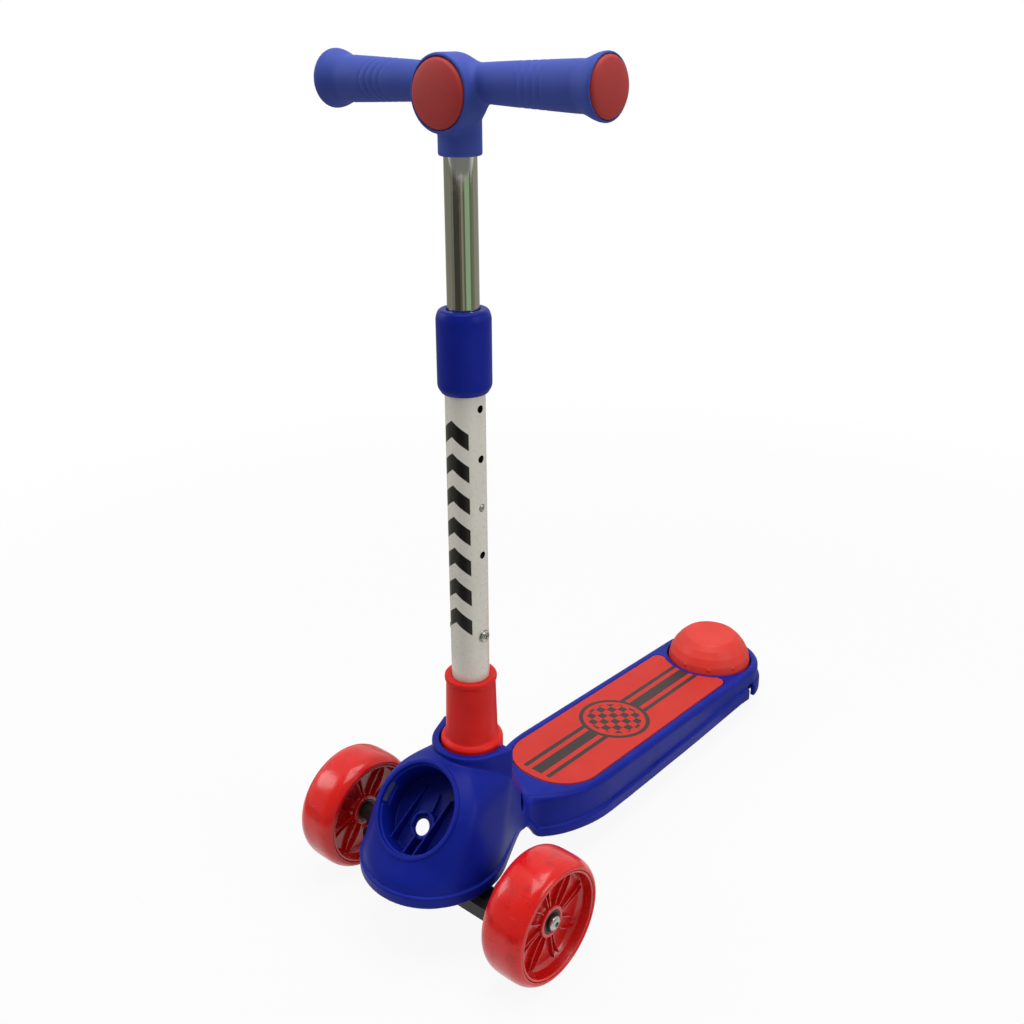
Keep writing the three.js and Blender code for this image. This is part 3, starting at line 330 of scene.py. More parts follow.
def lathe(outline, axis="Z", centre=(0, 0, 0), segments=96, closed=False):
    """Vertices and faces of an outline of (radius, along) pairs swept round an axis, Z or X."""
    verts, faces, rings = [], [], []
    for radius, along in outline:
        if radius < 1e-6:
            rings.append([len(verts)] * segments)
            verts.append((0, 0, along))
        else:
            rings.append(list(range(len(verts), len(verts) + segments)))
            turns = [2 * math.pi * k / segments for k in range(segments)]
            verts += [(radius * math.cos(t), radius * math.sin(t), along) for t in turns]
    for low, high in zip(rings, rings[1:] + ([rings[0]] if closed else [])):
        for k in range(segments):
            after = (k + 1) % segments
            faces.append(list(dict.fromkeys([low[k], low[after], high[after], high[k]])))
    if axis == "X":
        verts = [(along, across, up) for across, up, along in verts]
    return placed((verts, faces), centre)


def ring(outline, radius, axis="Z", centre=(0, 0, 0), segments=128, steps=4):
    """A ring: a closed outline with softened corners, swept round an axis."""
    return lathe(soften(outline, radius, steps, True), axis, centre, segments, True)


def box(inner, outer, low, high):
    """The outline of a plain tube, or of a bar where inner is zero."""
    return [(inner, low), (outer, low), (outer, high), (inner, high)]


def placed(shape, centre=(0, 0, 0), way=1):
    """The shape moved to a centre, and turned left to right where way is -1."""
    verts, faces = shape
    return [Vector((way * v[0], v[1], v[2])) + Vector(centre) for v in verts], faces


def merged(*parts):
    """Several lists of vertices and faces as one."""
    verts, faces = [], []
    for some_verts, some_faces in parts:
        faces += [[i + len(verts) for i in face] for face in some_faces]
        verts += list(some_verts)
    return verts, faces


print("a plain ring of 8 steps has", len(ring(box(4, 5, 0, 1), 0.1, segments=8)[1]), "faces")


# %% Make a mesh of a shape, and let it ride
def piece(name, shape, material, body, stands_for, sharp=40):
    """A mesh piece from millimetres at the column's foot, on its body, with its finish."""
    verts, faces = shape
    made = add_mesh(name, [(v[0] * MM, (v[1] + COLUMN_BACK) * MM, v[2] * MM) for v in verts],
                    [list(f) for f in faces])
    mesh = made.data
    mesh.validate()
    mesh.materials.append(material)
    bm = bmesh.new()
    bm.from_mesh(mesh)
    bmesh.ops.recalc_face_normals(bm, faces=bm.faces)
    bm.to_mesh(mesh)
    bm.free()
    mesh.shade_smooth()
    mesh.set_sharp_from_angle(angle=math.radians(sharp))
    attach(made, body)
    if stands_for:
        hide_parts(*stands_for)
    print(name, len(mesh.vertices), "vertices on", body)
    return made


# %% [markdown]
# ## Moulded pieces
#
# A moulded body has no sharp corner: where two forms meet there is a fillet. Such a form is easy to
# say as a distance to its surface, because distances can be joined with a soft minimum. The
# distances are worked out on a grid of points, and the surface where they are zero becomes the mesh.

# %% Join and cut distances
def both(*forms):
    """What all the forms share, with sharp edges."""
    return functools.reduce(np.maximum, forms)


def either(*forms):
    """All the forms together, with sharp creases."""
    return functools.reduce(np.minimum, forms)


def far(*parts):
    """The length that these parts along the axes make together."""
    return np.sqrt(sum(part * part for part in parts))


def fuse(first, second, soft):
    """Two forms as one, with a fillet of about the given size where they meet."""
    share = np.clip(0.5 + 0.5 * (second - first) / soft, 0, 1)
    return second * (1 - share) + first * share - soft * share * (1 - share)


def carve(form, tool, soft=0.8):
    """The form without the tool, with an edge softened by about the given size."""
    return -fuse(-form, tool, soft)


def rounded(first, second, radius):
    """What two forms share, where their common edge is rounded."""
    outside = far(np.maximum(first + radius, 0), np.maximum(second + radius, 0))
    return outside + np.minimum(both(first, second) + radius, 0) - radius


def evened(distance, reach):
    """The distance averaged over a box of steps, which rounds off a wrapping's flat faces."""
    for axis in range(3):
        pads = [(reach + 1, reach) if a == axis else (0, 0) for a in range(3)]
        summed = np.cumsum(np.pad(distance, pads, "edge"), axis=axis, dtype=np.float64)
        total = np.moveaxis(summed, axis, 0)
        mean = (total[2 * reach + 1:] - total[:-2 * reach - 1]) / (2 * reach + 1)
        distance = np.moveaxis(mean, 0, axis).astype(np.float32)
    return distance


def hexagon(across, up):
    """The distance from a hexagon's middle, measured square to its flats."""
    return both(abs(across), abs(up) * math.cos(math.pi / 6) + abs(across) * 0.5)


print("a fillet of 4 adds", -float(fuse(np.float32(0), np.float32(0), 4)), "mm where two forms meet")


# %% Distances on a grid
class Space:
    """A block of grid points in millimetres, and the forms that can be measured in it."""

    def __init__(self, low, high, step):
        self.low, self.step = low, step
        counts = [int(math.ceil((h - l) / step)) + 1 for l, h in zip(low, high)]
        ranges = [l + step * np.arange(n, dtype=np.float32) for l, n in zip(low, counts)]
        self.shape = tuple(counts)
        self.x = ranges[0][:, None, None]
        self.y = ranges[1][None, :, None]
        self.z = ranges[2][None, None, :]

    def rod(self, start, end, radius):
        """A round bar from start to end."""
        start, way = Vector(start), Vector(end) - Vector(start)
        length = way.length
        way.normalize()
        x, y, z = self.x - start.x, self.y - start.y, self.z - start.z
        along = x * way.x + y * way.y + z * way.z
        out = np.sqrt(np.maximum(x * x + y * y + z * z - along * along, 0))
        return both(out - radius, -along, along - length)

    def hull(self, points, grow, reach):
        """The tight wrapping of some points, grown by a rounding and measured out to a reach."""
        bm = bmesh.new()
        for p in points:
            bm.verts.new(Vector(p) - Vector(self.low))
        wrapped = bmesh.ops.convex_hull(bm, input=bm.verts)
        loose = [g for g in wrapped["geom_interior"] if isinstance(g, bmesh.types.BMVert)]
        bmesh.ops.delete(bm, geom=loose, context="VERTS")
        bmesh.ops.triangulate(bm, faces=bm.faces)
        bm.verts.index_update()
        verts = np.array([v.co for v in bm.verts], np.float32)
        triangles = np.array([[v.index for v in f.verts] for f in bm.faces], np.uint32)
        bm.free()
        grid = openvdb.FloatGrid.createLevelSetFromPolygons(
            verts, triangles=triangles, halfWidth=(grow + reach) / self.step + 2,
            transform=openvdb.createLinearTransform(voxelSize=self.step))
        distance = np.empty(self.shape, np.float32)
        grid.copyToArray(distance)
        return distance - grow

    def skin(self, distance):
        """Vertices and faces of the surface where the distance is zero."""
        limit = 3 * self.step
        grid = openvdb.FloatGrid(background=float(limit))
        distance = np.clip(np.broadcast_to(distance, self.shape), -limit, limit)
        grid.copyFromArray(np.ascontiguousarray(distance, dtype=np.float32))
        points, triangles, quads = grid.convertToPolygons(isovalue=0.0, adaptivity=0.0)
        points = points * self.step + np.array(self.low)
        return [Vector(p) for p in points], [list(f) for some in (quads, triangles) for f in some]


# %% [markdown]
# ## Finishes of the plastics
#
# The blue body is polypropylene straight from the mould: satin, with a fine spark texture, a slow
# drift of tone and a few rubbed places. Edges catch a little more light, because fingers and boxes
# polish them. The grips are softer and duller. The reds differ by piece: the collar and the brake
# dome are satin, the caps are matte and brownish, and the mat has a printed, fine-grained top.

# %% Mix the plastics
def moulded(name, colour, rough, tone=0.10, grain=0.9, depth=0.05, wear=0.5, level=0.35):
    """A moulded plastic: tone drifts, the spark texture shows, and rubbed places shine."""
    paint = Paint(name)
    drift = paint.noise(55, 3).rise(0.3, 0.7)
    deep = [c * (1 - tone) for c in colour[:3]] + [1]
    pale = [min(1, c * (1 + tone) + 0.004 * wear) for c in colour[:3]] + [1]
    shiny = [min(1, c * 1.15 + 0.012) for c in colour[:3]] + [1]
    rubbed = paint.noise(9, 4, rough=0.65).rise(0.60, 0.72) * wear
    scratches = paint.noise(1.6, 3, stretch=(0.12, 1.0, 0.5)).rise(0.66, 0.74) * wear
    dust = paint.dots(7.5, 0.42) * paint.noise(30, 2).rise(0.5, 0.7)
    base = paint.blend(paint.blend(deep, pale, drift), shiny, rubbed * 0.35 + scratches * 0.18)
    base = paint.blend(base, [0.5, 0.5, 0.55, 1], dust * 0.35 * wear)
    texture = paint.noise(grain, 2) * 0.7 + paint.noise(grain * 5, 2) * 0.3
    paint.finish(Base_Color=base, Normal=paint.relief(texture, depth), Specular_IOR_Level=level,
                 Roughness=paint.noise(14, 3) * 0.12 + (rough - 0.06) - rubbed * 0.08)
    return paint


BLUE = srgb(7, 27, 138)
blue_moulding = moulded("blue_moulding", BLUE, 0.42, level=0.13).material
grip_moulding = moulded("grip_moulding", srgb(53, 71, 154), 0.62, tone=0.06, grain=0.7, wear=0.3,
                        level=0.2).material
collar_red = moulded("collar_red", srgb(214, 24, 18), 0.42, tone=0.07, level=0.2).material
cap_red = moulded("cap_red", srgb(162, 46, 44), 0.62, tone=0.05, grain=0.6, wear=0.25,
                  level=0.3).material
dome_red = moulded("dome_red", srgb(214, 52, 40), 0.48, tone=0.07, grain=1.1, depth=0.08,
                   wear=0.6).material
black_nylon = moulded("black_nylon", srgb(36, 28, 29), 0.5, tone=0.2, grain=1.4, depth=0.1,
                      wear=0.8).material
black_rubber = moulded("black_rubber", srgb(20, 19, 20), 0.7, tone=0.2, wear=0.4).material
print("plastics", blue_moulding.name, grip_moulding.name, collar_red.name, cap_red.name,
      dome_red.name, black_nylon.name, black_rubber.name)

# %% [markdown]
# ## Finishes of the metals
#
# The upper tube is chromed: nearly a mirror, with faint lines along it from drawing and polishing
# and a few finger marks. Bolts are zinc plated and a little rougher. The lower tube is powder
# coated in warm white, and a row of broad black chevrons is printed on its front.

# %% Mix the metals
chrome_paint = Paint("polished_chrome")
drawn = chrome_paint.noise(0.5, 2, stretch=(1, 1, 0.01))
smears = chrome_paint.noise(24, 4, rough=0.7).rise(0.5, 0.75)
chrome = chrome_paint.finish(
    Base_Color=chrome_paint.blend(srgb(196, 196, 190), srgb(168, 168, 160), drawn),
    Metallic=1.0, Roughness=smears * 0.07 + 0.03 + drawn * 0.03,
    Normal=chrome_paint.relief(drawn, 0.004))


def plated(name, size, pale, deep, rough):
    """A cloudy metal between two tones."""
    paint = Paint(name)
    cloud = paint.noise(size, 3)
    paint.finish(Base_Color=paint.blend(srgb(*pale), srgb(*deep), cloud), Metallic=1.0,
                 Roughness=cloud * 0.2 + rough)
    return paint


zinc_paint = plated("zinc_plate", 3, (206, 205, 200), (150, 149, 146), 0.18)
zinc = zinc_paint.finish(Normal=zinc_paint.relief(zinc_paint.noise(0.8), 0.03))
dark_steel = plated("dark_steel", 2.5, (86, 84, 84), (50, 48, 50), 0.3).material

# The print is measured round the tube: zero faces the front, and the height is the piece's own.
TUBE_RADIUS = 17.75
PRINT_LOW, PRINT_PITCH, PRINT_COUNT, PRINT_HALF = 295.0, 30.0, 7, 15.6
CHEVRON_HALF, CHEVRON_SLOPE = 7.6, 0.75
tube_paint = Paint("white_powder_coat")
across, along = tube_paint.x, tube_paint.y - COLUMN_BACK
girth = tube_paint.around(tube_paint.y * -1 + COLUMN_BACK, across) * (2 * math.pi * TUBE_RADIUS)
slope = tube_paint.z - PRINT_LOW + abs(girth) * CHEVRON_SLOPE
chevron = (slope % PRINT_PITCH - PRINT_PITCH / 2).within(CHEVRON_HALF, 0.35)
print_half = PRINT_PITCH * PRINT_COUNT / 2
ink = chevron * girth.within(PRINT_HALF, 0.3) * (slope - print_half).within(print_half, 0.3)
worn = tube_paint.noise(2.2, 4, rough=0.7).rise(0.70, 0.76)
scuffs = tube_paint.noise(1.2, 3, stretch=(1, 1, 0.2)).rise(0.68, 0.74)
scuffs = scuffs * tube_paint.noise(50).rise(0.5, 0.62)
# Painted shade: inside the tube's outer skin, on the hole walls and the inner face, the coat is
# painted near black for the shade in the holes.
inner_painted_shade = (across * across + along * along).root().rise(17.6, 17.2)
coat = tube_paint.blend(srgb(222, 218, 207), srgb(210, 206, 196), tube_paint.noise(40, 3))
coat = tube_paint.blend(coat, srgb(165, 160, 150), scuffs * 0.5)
coat = tube_paint.blend(coat, srgb(13, 12, 13), ink * (1 - worn * 0.5))
white_tube = tube_paint.finish(
    Base_Color=tube_paint.blend(coat, srgb(22, 21, 21), inner_painted_shade),
    Roughness=tube_paint.noise(4, 2) * 0.08 + 0.24, Coat_Weight=0.25, Coat_Roughness=0.12,
    Normal=tube_paint.relief(tube_paint.noise(2.4, 2) * 0.5 + ink * 0.5, 0.03))
print("metals", chrome.name, zinc.name, dark_steel.name, white_tube.name)

# %% [markdown]
# ## The body: bell, neck and deck in one moulding
#
# The bell is the tight wrapping of a few circles: its lip, its tail, the foot of the column boss,
# a swell and the rim of the front recess. The boss is round in front and widens to two corners
# behind. The deck is a long rounded outline under a sloping top, with half an ellipse in front. A
# low neck joins them with a fillet, as in the real mould, and a lip runs round the whole edge. The
# inside is the same form made 3 mm smaller.

# %% Measure the body's forms
RISE = math.radians(42.8)
PIN_UP = Vector((0, -math.cos(RISE), math.sin(RISE)))
PIN_ACROSS = Vector((0, math.sin(RISE), math.cos(RISE)))
RECESS = Vector((0, -78.5, 133.7))
RIM_RADIUS, WALL, EDGE = 45.9, 3.0, 4.0  # EDGE rounds the edges of the wrapping
DECK_HALF, DECK_NOSE, NOSE_END, AXLE_BACK = 61.5, 100.0, 150.0, 446.0
BOSS_RADIUS, BOSS_BACK, BOSS_HALF, BOSS_TOP = 38.7, 9.0, 45.0, 172
LIP_FRONT, LIP_WIDE, LIP_TAIL, LIP_NARROW = -56.0, 71.0, 20.0, 39.0
TURNS = [2 * math.pi * k / 72 for k in range(72)]


def circle(y, z, radius):
    """Points of a level circle on the scooter's middle plane, less the rounding to come."""
    radius -= EDGE
    return [(radius * math.cos(t), y + radius * math.sin(t), z) for t in TURNS]


def on_recess(u, v, w):
    """A point by its place across, up and out of the recess's rim plane."""
    return RECESS + Vector((u, 0, 0)) + PIN_ACROSS * v + PIN_UP * w


def recess_circle(radius, depth):
    """Points of a circle under the recess's rim plane, less the rounding to come."""
    radius -= EDGE
    return [on_recess(radius * math.sin(t), radius * math.cos(t), -depth) for t in TURNS]


def deck_plan(x, y):
    """Distance to the deck's outline seen from above: half an ellipse in front, round behind."""
    ahead = np.maximum(NOSE_END - y, 0)
    reach = far(x / DECK_HALF, ahead / DECK_NOSE)
    slope = far(x / DECK_HALF ** 2, ahead / DECK_NOSE ** 2)
    nose = reach * (reach - 1) / np.maximum(slope, 1e-5)
    return np.where(y < NOSE_END, nose, far(x, np.maximum(y - AXLE_BACK, 0)) - DECK_HALF)


def deck_top(y):
    """The height of the deck's top."""
    return 81.5 - 0.05 * y


def lip_plan(x, y):
    """Distance to the bell's lip seen from above: two circles and their straight tangents."""
    length = LIP_TAIL - LIP_FRONT
    lean = (LIP_WIDE - LIP_NARROW) / length
    straight = math.sqrt(1 - lean * lean)
    px, py = abs(x), y - LIP_FRONT
    along = -lean * px + straight * py
    beside = np.where(along > straight * length, far(px, py - length) - LIP_NARROW,
                      straight * px + lean * py - LIP_WIDE)
    return np.where(along < 0, far(px, py) - LIP_WIDE, beside)


print("deck", 2 * DECK_HALF, "mm wide, boss up to", BOSS_TOP, "mm, recess rim at", RECESS)

# %% Build the body
STEP = 1.3
BODY_LOW, HULL_REACH, EVEN_OVER, EVEN_GROW = 14, 18, 8, 0.8
KEEP_NEAR, KEEP_FADE = 50, 14
body = Space((-76, -132, BODY_LOW), (76, 514, 176), STEP)
x, y, z, aside = body.x, body.y, body.z, abs(body.x)
boss_foot = [p for p in circle(0, 152 - EDGE, BOSS_RADIUS) if p[1] < BOSS_BACK - EDGE]
boss_foot += [(end * (BOSS_HALF - EDGE), BOSS_BACK - EDGE, 144 - EDGE) for end in (-1, 1)]
bell = body.hull(circle(-56, 60, 68) + circle(-56, 79, 68) + circle(22, 28, 37.0)
                 + circle(22, 79, 38.5) + boss_foot + circle(0, 160 - EDGE, 30)
                 + recess_circle(58, 15) + recess_circle(RIM_RADIUS, EDGE), EDGE, HULL_REACH)
to_recess = far(x, y - RECESS.y, z - RECESS.z)
share = np.clip((to_recess - KEEP_NEAR) / KEEP_FADE, 0, 1)
bell = bell * (1 - share) + (evened(bell, round(EVEN_OVER / STEP)) - EVEN_GROW) * share
plan, top = deck_plan(x, y), z - deck_top(y)
neck = rounded(both(aside - 28, 30 - y, y - 100), top + 3.5, 4.0)
skin = fuse(fuse(bell, neck, 6), rounded(plan, top, 5.0), 7)
inside = skin + WALL

boss_out = far(x, y)
flare = math.acos(BOSS_RADIUS / math.hypot(BOSS_HALF, BOSS_BACK)) - math.atan2(BOSS_BACK, BOSS_HALF)
past_round = aside * math.sin(flare) + y * math.cos(flare) > 0
side_wall = aside * math.cos(flare) - y * math.sin(flare)
boss_plan = rounded(np.where(past_round, side_wall, boss_out) - BOSS_RADIUS, y - BOSS_BACK, 1.0)
skin = fuse(skin, both(rounded(boss_plan, z - BOSS_TOP, 1.8), 140 - z), 1.6)

lip_low = np.interp(y, [-110, 12, 24, 36, 44, 50, 55, 60, 64, 200, 320, 420, 446],
                    [65.8, 68.5, 67, 60, 55, 50, 43, 34, 32.15, 27.8, 25.2, 25.0, 22.5])
lip_half = np.interp(y, [-110, 40, 60, 110, 300, 500], [11.8, 10.4, 10.4, 12.6, 15.0, 15.0]) / 2
lip_out = fuse(fuse(lip_plan(x, y), both(aside - 30, 30 - y, y - 110), 8), plan - 3, 8)
lip = rounded(lip_out, abs(z - lip_low - lip_half) - lip_half, 1.6)
skin = both(either(skin, lip), lip_low - z)

deck_inside = both(plan + WALL, top + WALL + 2.4)
hollow = either(both(inside, either(-plan + 1, top + 5.4)), deck_inside)
shell = both(skin, -hollow)
print("body space", body.shape, "points")

# %% [markdown]
# ## Cuts and inner walls of the body
#
# The column stands in a seat in the boss. The front recess is cut out whole and filled by a finer
# piece, and two lugs under it hold the pin that the truck leans about. The rear wheel turns between
# two blocks in a round well that the brake dome covers, and a notch opens the lip on each side of
# it. Under the deck, thin ribs keep the moulding stiff. Two oval pockets lie in the bell behind,
# each with walls and a floor of its own, and a window opens the bell on the left.

# %% Cut the body
WELL, TUBE_SEAT, FLANGE_SEAT, RECESS_SEAT = 52.5, 18.1, 31.5, 44.2
LUG_RADIUS, LUG_ACROSS, LUG_LONG = 11, -12.2, 12
RIB_HALF, RIB_FIRST, RIB_PITCH = 1.3, 92, 62
SLOT_HALF, SLOT_HIGH, SLOT_AT, SLOT_WALL = 4.5, 10, (31, 94), 2
WINDOW_UP, WINDOW_DEEP, WINDOW_HALF = 1, 8.2, 9.5
from_axle = abs(y - AXLE_BACK)
shell = either(shell, both(body.rod((0, 0, 88), (0, 0, 168), 22.5), skin))
ribs = either(abs((y - RIB_FIRST) % RIB_PITCH - (RIB_PITCH - 1)), aside) - RIB_HALF
shell = either(shell, both(105 - y, y - 395, ribs, plan + 2, top + 3, -top - 19))
well_out = far(x, y - AXLE_BACK)
shell = either(shell, both(well_out - WELL - WALL, 37 - z, plan + 1, top + 2))
shell = carve(shell, both(well_out - WELL, 40 - z), 1.6)
shell = carve(shell, both(aside - 17, from_axle - 42, z - 44))
axle_blocks = both(abs(aside - 20.5) - 3.5, from_axle - 10, abs(z - 39) - 11)
notch_walls = both(abs(aside - 51.5) - 1.6, abs(y - AXLE_BACK - 7) - 22, z - 40, 24 - z)
shell = either(shell, axle_blocks, notch_walls)
shell = carve(shell, both(54.5 - aside, abs(y - AXLE_BACK + 1) - 6, z - 40))
shell = carve(shell, both(boss_out - FLANGE_SEAT, 160 - z), 1.6)
shell = carve(shell, body.rod((0, 0, 92), (0, 0, 180), TUBE_SEAT))
shell = carve(shell, body.rod(on_recess(0, 0, -32.5), on_recess(0, 0, 40), RECESS_SEAT))
slot_out = far((y - SLOT_AT[0]) / SLOT_HALF, (z - SLOT_AT[1]) / SLOT_HIGH)
slot = slot_out * SLOT_HALF - SLOT_HALF
shell = either(shell, both(slot - SLOT_WALL, 24 - aside, skin))
shell = carve(shell, both(slot, 28 - aside, aside - 44))
recess_up = (y - RECESS.y) * PIN_ACROSS.y + (z - RECESS.z) * PIN_ACROSS.z
recess_out = (y - RECESS.y) * PIN_UP.y + (z - RECESS.z) * PIN_UP.z
window = both(abs(recess_up - WINDOW_UP) - WINDOW_HALF, abs(recess_out + WINDOW_DEEP) - 4.6)
shell = carve(shell, both(window, 36 + x))
for deep in (-75, -112):
    start, end = [on_recess(0, LUG_ACROSS, deep + more) for more in (0, LUG_LONG)]
    shell = either(shell, body.rod(start, end, LUG_RADIUS))
print("ribs every", RIB_PITCH, "mm, well", 2 * WELL, "mm wide")

# %% Pocket for the mat, and the body's mesh
MAT_FRONT, MAT_BACK, MAT_HALF, MAT_CORNER, MAT_REAR_CORNER = 89.4, 402, 50.5, 45.7, 9.0
DOME_ROOM, MAT_PLAY = 58.5, 0.7


def mat_plan(x, y, reach):
    """Distance to the mat's outline: rounded in front, hollowed round the brake dome behind."""
    half = abs(x) - MAT_HALF - reach
    front = rounded(half, MAT_FRONT - reach - y, MAT_CORNER)
    behind = rounded(half, y - MAT_BACK - reach, MAT_REAR_CORNER)
    return rounded(both(front, behind), DOME_ROOM - reach - far(x, y - AXLE_BACK), 2.0)


shell = carve(shell, both(mat_plan(x, y, MAT_PLAY), -top - 2.4, top - 20), 0.7)
piece("body_moulding", body.skin(shell), blue_moulding, "frame", ["deck_shell"], 60)
del shell, skin, hollow, inside, bell, neck, ribs

# %% [markdown]
# ## The front recess
#
# Its round cover is off, so the inside shows: a rim with a small ledge, a deep cup whose floor
# slopes, three thin ribs, and a round boss with a hexagonal pocket and a hole that goes right
# through. A window is open on its left. It is small and close to the eye, so its grid is finer and
# lies along its axis.

# %% Build the recess
FINE = 0.6
FLOOR_THICK, FLOOR_SINK, RIB_THICK = 2.5, 1, 1.7
BOSS_AT, BOSS_OUT, POCKET_HALF, HOLE_OUT = 11.6, 13.4, 9.8, 7.7
cup = Space((-48, -48, -36), (48, 48, 3), FINE)
x, y, z = cup.x, cup.y, cup.z
out, angle = far(x, y), np.arctan2(y, x)


def round_slab(low, high, inner, outer, radius):
    """A flat ring between two heights, with rounded edges."""
    return rounded(both(out - outer, inner - out), both(z - high, low - z), radius)


gaps = either(abs(abs(angle) - math.pi) - 0.26, abs(angle - 0.15) - 0.16, abs(angle + 0.78) - 0.12)
ledge = round_slab(-33.5, -3.2, 40.2, 45.0, 0.5)
ledge = carve(ledge, both(gaps * 42, out - 42.6, -14 - z), 0.5)
floor = -28 - 0.15 * (y + 12)
under = floor - FLOOR_SINK - z
insert = either(round_slab(-6, 0.7, 41.9, 46.2, 0.9), ledge,
                both(out - 45, z - floor, floor - FLOOR_THICK - z))
CUP_RIBS = [(-21.5, 0, 20.5, -10.0, -29.0), (0.7, 0.010, 19.0, -9.5, -29.5),
            (13.0, 0, 19.5, -7.0, -27.0)]
for across, bow, reach, low_end, high_end in CUP_RIBS:
    edge = low_end + (high_end - low_end) * (y + 42) / (reach + 42)
    beside = abs(x - across + bow * np.maximum(y + 2, 0) ** 2) - RIB_THICK / 2
    insert = fuse(insert, both(rounded(beside, z - edge, 0.5), y - reach, out - 42, under), 1.0)
hub_out = far(x, y + BOSS_AT)
insert = fuse(insert, rounded(hub_out - BOSS_OUT, both(z + 20, under), 0.8), 1.0)
insert = carve(insert, both(hexagon(x, y + BOSS_AT) - POCKET_HALF, -23.2 - z), 0.6)
insert = carve(insert, both(hub_out - 12.3, z + 24.8), 0.3)
insert = carve(insert, far(x + 0.8, y + BOSS_AT + 1.6) - HOLE_OUT, 0.5)
window = both(abs(x + 42) - 5, abs(y - WINDOW_UP) - WINDOW_HALF, abs(z + WINDOW_DEEP) - 4.4)
cup_verts, cup_faces = cup.skin(carve(insert, window, 0.5))
cup_verts = [on_recess(*v) for v in cup_verts]
cup_paint = moulded("recess_blue", BLUE, 0.46, wear=0.3, level=0.12)
from_rim = (cup_paint.y - (RECESS.y + COLUMN_BACK)) * PIN_UP.y
from_rim = from_rim + (cup_paint.z - RECESS.z) * PIN_UP.z
# Painted shade: the cup darkens towards navy the deeper it lies below the rim, standing in for the
# shade inside the recess.
recess_painted_shade = from_rim.rise(-2, -26) * (cup_paint.noise(12, 3) * 0.2 + 0.42)
cup_base = Value(cup_paint, cup_paint.shader.inputs["Base Color"].links[0].from_socket)
cup_blue = cup_paint.finish(Base_Color=cup_paint.blend(cup_base, srgb(0, 2, 74), recess_painted_shade))
piece("recess_moulding", (cup_verts, cup_faces), cup_blue, "frame", (), 60)

# %% [markdown]
# ## The deck mat
#
# The mat is a printed sheet let into the deck. Two thin stripes and a broad one run along it, with a
# ring across them and a small chequer in the ring. The print is matte and the sheet's grain still
# shows through it.

# %% Print and lay the mat
RING, RING_HALF, CHECK = 38.1, 2.4, 9.0
mat_paint = Paint("printed_mat")
mat_x, mat_y = mat_paint.x, mat_paint.y - (239 + COLUMN_BACK)
ring_out = (mat_x * mat_x + mat_y * mat_y).root()
stripes = mat_x.within(6.8, 0.2).higher((abs(mat_x) - 15.4).within(2.7, 0.2))
stripes = stripes * ring_out.rise(40.3, 40.6)
ends = (mat_paint.y - (245.5 + COLUMN_BACK)).within(147.5, 0.3)
odd = ((mat_x / CHECK).floor() + (mat_y / CHECK).floor()) % 2
chequer = odd.rise(0.45, 0.55) * ring_out.rise(31.0, 30.7)
mat_ink = (stripes * ends).higher((ring_out - RING).within(RING_HALF, 0.2)).higher(chequer)
flecks = mat_paint.noise(0.9, 3, rough=0.7).rise(0.66, 0.72)
mat_grain = mat_paint.noise(0.55, 2) * 0.6 + mat_paint.noise(2.5, 2) * 0.4
mat_red = mat_paint.blend(srgb(206, 52, 42), srgb(190, 42, 34), mat_paint.noise(38, 3))
mat_finish = mat_paint.finish(
    Base_Color=mat_paint.blend(mat_red, srgb(52, 38, 37), mat_ink * (1 - flecks * 0.4)),
    Roughness=0.62 - mat_ink * 0.1 + mat_paint.noise(10, 2) * 0.08,
    Normal=mat_paint.relief(mat_grain + mat_ink * 0.3, 0.09), Specular_IOR_Level=0.35)


def mat_outline(inset, steps=10):
    """The mat's outline as points, a given distance inside its edge."""
    half, end = MAT_HALF - inset, MAT_BACK - inset
    corner, rear, room = MAT_CORNER - inset, MAT_REAR_CORNER - inset, DOME_ROOM + inset
    front = MAT_FRONT + inset + corner
    quarter, sweep = math.pi / 2, math.asin((AXLE_BACK - end) / room)
    arcs = [(corner - half, front, corner, 2 * quarter, 3 * quarter, 2 * steps),
            (half - corner, front, corner, 3 * quarter, 4 * quarter, 2 * steps),
            (half - rear, end - rear, rear, 0, quarter, steps),
            (0, AXLE_BACK, room, -sweep, sweep - math.pi, 4 * steps),
            (rear - half, end - rear, rear, quarter, 2 * quarter, steps)]
    return [(x + radius * math.cos(t), y + radius * math.sin(t))
            for x, y, radius, start, stop, count in arcs for t in np.linspace(start, stop, count)]


MAT_LAYERS = [(0.0, -2.2), (0.0, 0.1), (0.25, 0.48), (0.7, 0.6)]
mat_verts = [(x, y, deck_top(y) + lift) for inset, lift in MAT_LAYERS for x, y in mat_outline(inset)]
count, layers = len(mat_verts) // len(MAT_LAYERS), len(MAT_LAYERS)
mat_faces = [[low + k, low + (k + 1) % count, low + count + (k + 1) % count, low + count + k]
             for low in range(0, count * (layers - 1), count) for k in range(count)]
mat_faces += [list(range(count * (layers - 1), count * layers)), list(range(count))[::-1]]
piece("mat", (mat_verts, mat_faces), mat_finish, "frame", ["deck_mat"], 50)
